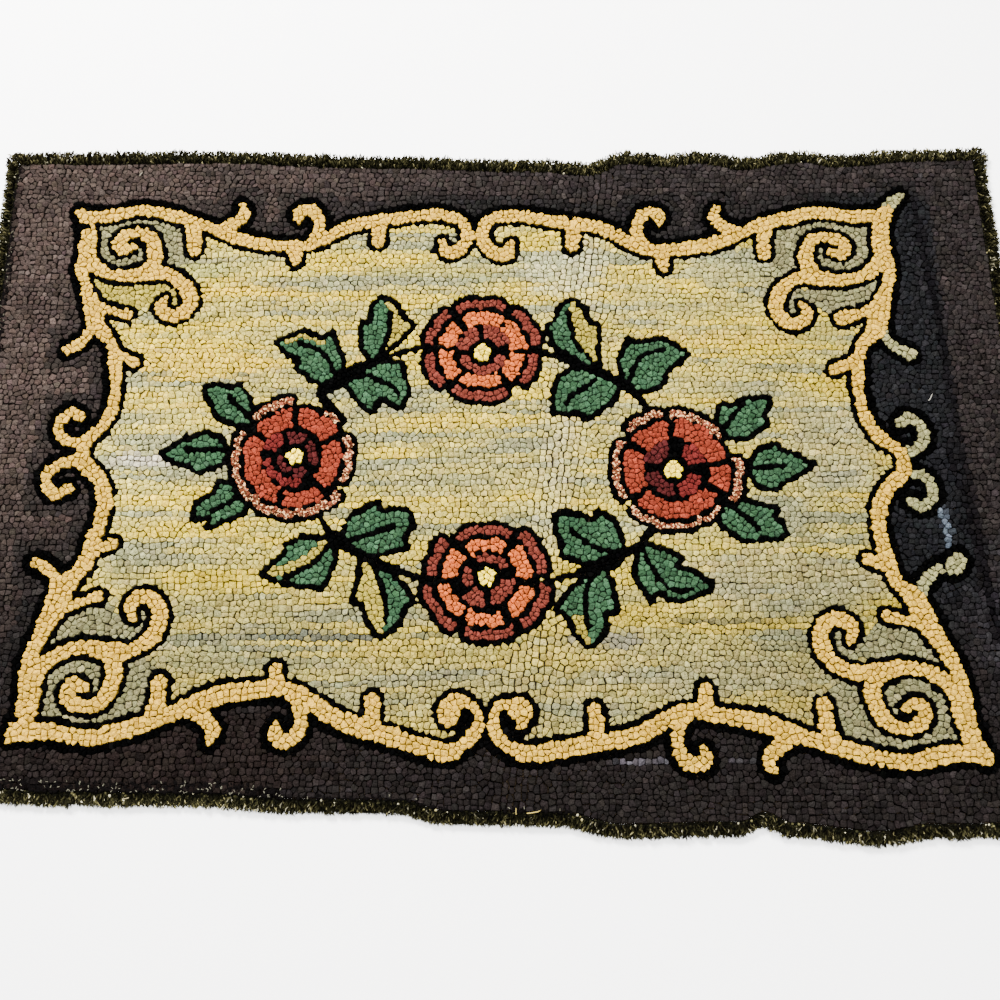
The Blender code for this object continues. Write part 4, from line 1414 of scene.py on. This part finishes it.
def heading_knots(side, shares, dice):
    """Two rows of knots along the heading."""
    start, end = SIDES[side][2]
    parts = []
    for row, away in enumerate(KNOT_ROWS):
        s = np.arange(start + row * KNOT_PITCH / 2, end, KNOT_PITCH)
        s = s + dice.normal(0, 0.4, len(s))
        seam, out = along_side(side, s)
        place = seam + out * (away + dice.normal(0, 0.3, len(s)))[:, None]
        tones = yarn_shares(dice, len(s), shares)
        pale = tones.min(axis=1) > 0.2
        size = np.where(pale, 0.62, 1.0) * KNOT_SIZE * dice.uniform(0.8, 1.15, len(s))
        high = HEADING_HEIGHT + dice.normal(0, 0.35, len(s)) + 0.5 * pale
        parts.append(knots(place, high * 0.4, high, size, tones, dice))
    return parts


def sewing_knots(side, dice):
    """Knots of the sewing that lie on the outermost loops. The pale ones are short stitches of three knots."""
    parts = []
    for where, start, end, inward, density, pale_share in SEWING:
        if where != side:
            continue
        s = dice.uniform(start, end, int((end - start) * density))
        seam, out = along_side(side, s)
        place = seam - out * (dice.uniform(0, 1, len(s)) ** 1.2 * inward)[:, None]
        pale = dice.uniform(0, 1, len(s)) < pale_share
        turn = dice.uniform(0, math.pi, pale.sum())
        step = np.stack([np.cos(turn), np.sin(turn)], axis=1) * SEWING_STITCH
        place = np.concatenate([place[~pale], place[pale] - step, place[pale], place[pale] + step])
        pale = np.arange(len(place)) >= (~pale).sum()
        tones = np.where(pale[:, None], dye(*SEWING_PALE), dye(*SEWING_DARK))
        size = np.where(pale, *SEWING_SIZES) * dice.uniform(0.6, 1.2, len(place))
        high = height_at(pile_top, place[:, 0], place[:, 1]) + np.where(pale, 0.9, 0.2)
        parts.append(knots(place, high - SEWING_DEPTH, high, size, tones, dice))
    return parts


def loose_yarns(side, dice):
    """Single yarns that lie loose on the edge, each in four short lengths with a bend between them."""
    parts = []
    for (x, y), turn, length, high, tone in LOOSE_YARNS[side]:
        heading = math.radians(turn) + np.cumsum(dice.normal(0, 0.22, 4))
        steps = np.stack([np.cos(heading), np.sin(heading)], axis=1) * length / 4
        line = np.array([x, y]) + np.concatenate([[[0, 0]], np.cumsum(steps, axis=0)])
        beside = np.array([[-math.sin(math.radians(turn)), math.cos(math.radians(turn))]])
        heights, girths = [np.array([high])] * 4, [np.array([0.5])] * 4
        rings = strand_rings([line[k:k + 1] for k in range(4)], heights, girths, beside)
        points = np.stack([*rings, np.array([[*line[4], high]])], axis=1)
        parts.append((points.reshape(-1, 3), *strand_faces(1, 4), np.tile(dye(*tone), (points.shape[1], 1))))
    return parts


def joined(parts):
    """Several sets of points, quads, triangles and colours as one."""
    points, quads, caps, paint, count = [], [], [], [], 0
    for p, q, c, t in parts:
        points.append(p)
        quads.append(q + count)
        caps.append(c + count)
        paint.append(t)
        count += len(p)
    return (np.concatenate(points), [np.concatenate(quads), np.concatenate(caps)],
            np.clip(np.concatenate(paint), 0.001, 0.95))


def edging_finish():
    """Matte cut yarn; each end has its own dye with painted shade and highlight, kept on its points."""
    material, shader = finish_of("cut_yarn", 0.95)
    connect(dyed_yarn(), shader.inputs["Base Color"])
    return material


cut_yarn = edging_finish()
for number, (side, length, height, first, end_shares, knot_shares) in enumerate(EDGINGS):
    dice = np.random.default_rng(100 + number)
    fringe = joined([brush(side, length, height, first, end_shares, dice), fringe_core(side, length),
                     *loose_yarns(side, dice)])
    heading = joined([heading_band(side), *heading_knots(side, knot_shares, dice), *sewing_knots(side, dice)])
    for part, (points, faces, paint) in (("fringe_" + side, fringe), ("heading_" + side, heading)):
        piece = make_mesh(part, points, faces, False, paint)
        piece.data.materials.append(cut_yarn)
        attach(piece, "root")
        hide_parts("edging_" + side)


# The floor, the light and the camera. A plain pale floor, broad soft light from above, and the view of someone
# who stands at the near side and looks down at the rug.
floor_mesh = bpy.data.meshes.new("floor")
FLOOR_HALF = 4.0
FLOOR_LEVEL = -0.0004
FLOOR_CORNERS = ((-1, -1), (1, -1), (1, 1), (-1, 1))
floor_mesh.from_pydata([(FLOOR_HALF * x, FLOOR_HALF * y, FLOOR_LEVEL) for x, y in FLOOR_CORNERS], [],
                       [(0, 1, 2, 3)])
floor = bpy.data.objects.new("floor", floor_mesh)
bpy.context.scene.collection.objects.link(floor)
floor_finish, floor_shader = finish_of("floor_paint", 0.9)
floor_shader.inputs["Base Color"].default_value = (0.97, 0.97, 0.97, 1)
floor_mesh.materials.append(floor_finish)

world = bpy.data.worlds.new("studio")
bpy.context.scene.world = world
world.use_nodes = True
world.node_tree.nodes["Background"].inputs["Color"].default_value = (1.0, 0.995, 0.98, 1)
world.node_tree.nodes["Background"].inputs["Strength"].default_value = 1.35


def lamp(name, place, size, power, tint):
    """A soft light from a flat panel that faces the middle of the rug."""
    data = bpy.data.lights.new(name, "AREA")
    data.shape = "RECTANGLE"
    data.size, data.size_y = size
    data.energy = power
    data.color = tint
    made = bpy.data.objects.new(name, data)
    bpy.context.scene.collection.objects.link(made)
    made.location = place
    made.rotation_mode = "QUATERNION"
    made.rotation_quaternion = Vector(place).to_track_quat("Z", "Y")


lamp("window_light", (-1.0, 1.7, 1.7), (0.9, 0.7), 420, (1.0, 0.985, 0.96))
lamp("ceiling_light", (0.3, -0.2, 2.6), (2.5, 2.0), 190, (1.0, 1.0, 1.0))

camera = bpy.data.objects.new("camera", bpy.data.cameras.new("camera"))
bpy.context.scene.collection.objects.link(camera)
camera.location = (-0.0020, -0.2903, 0.9073)
camera.rotation_euler = (math.radians(15.7), 0, 0)
camera.data.lens = 36
camera.data.sensor_width = 36
bpy.context.scene.camera = camera
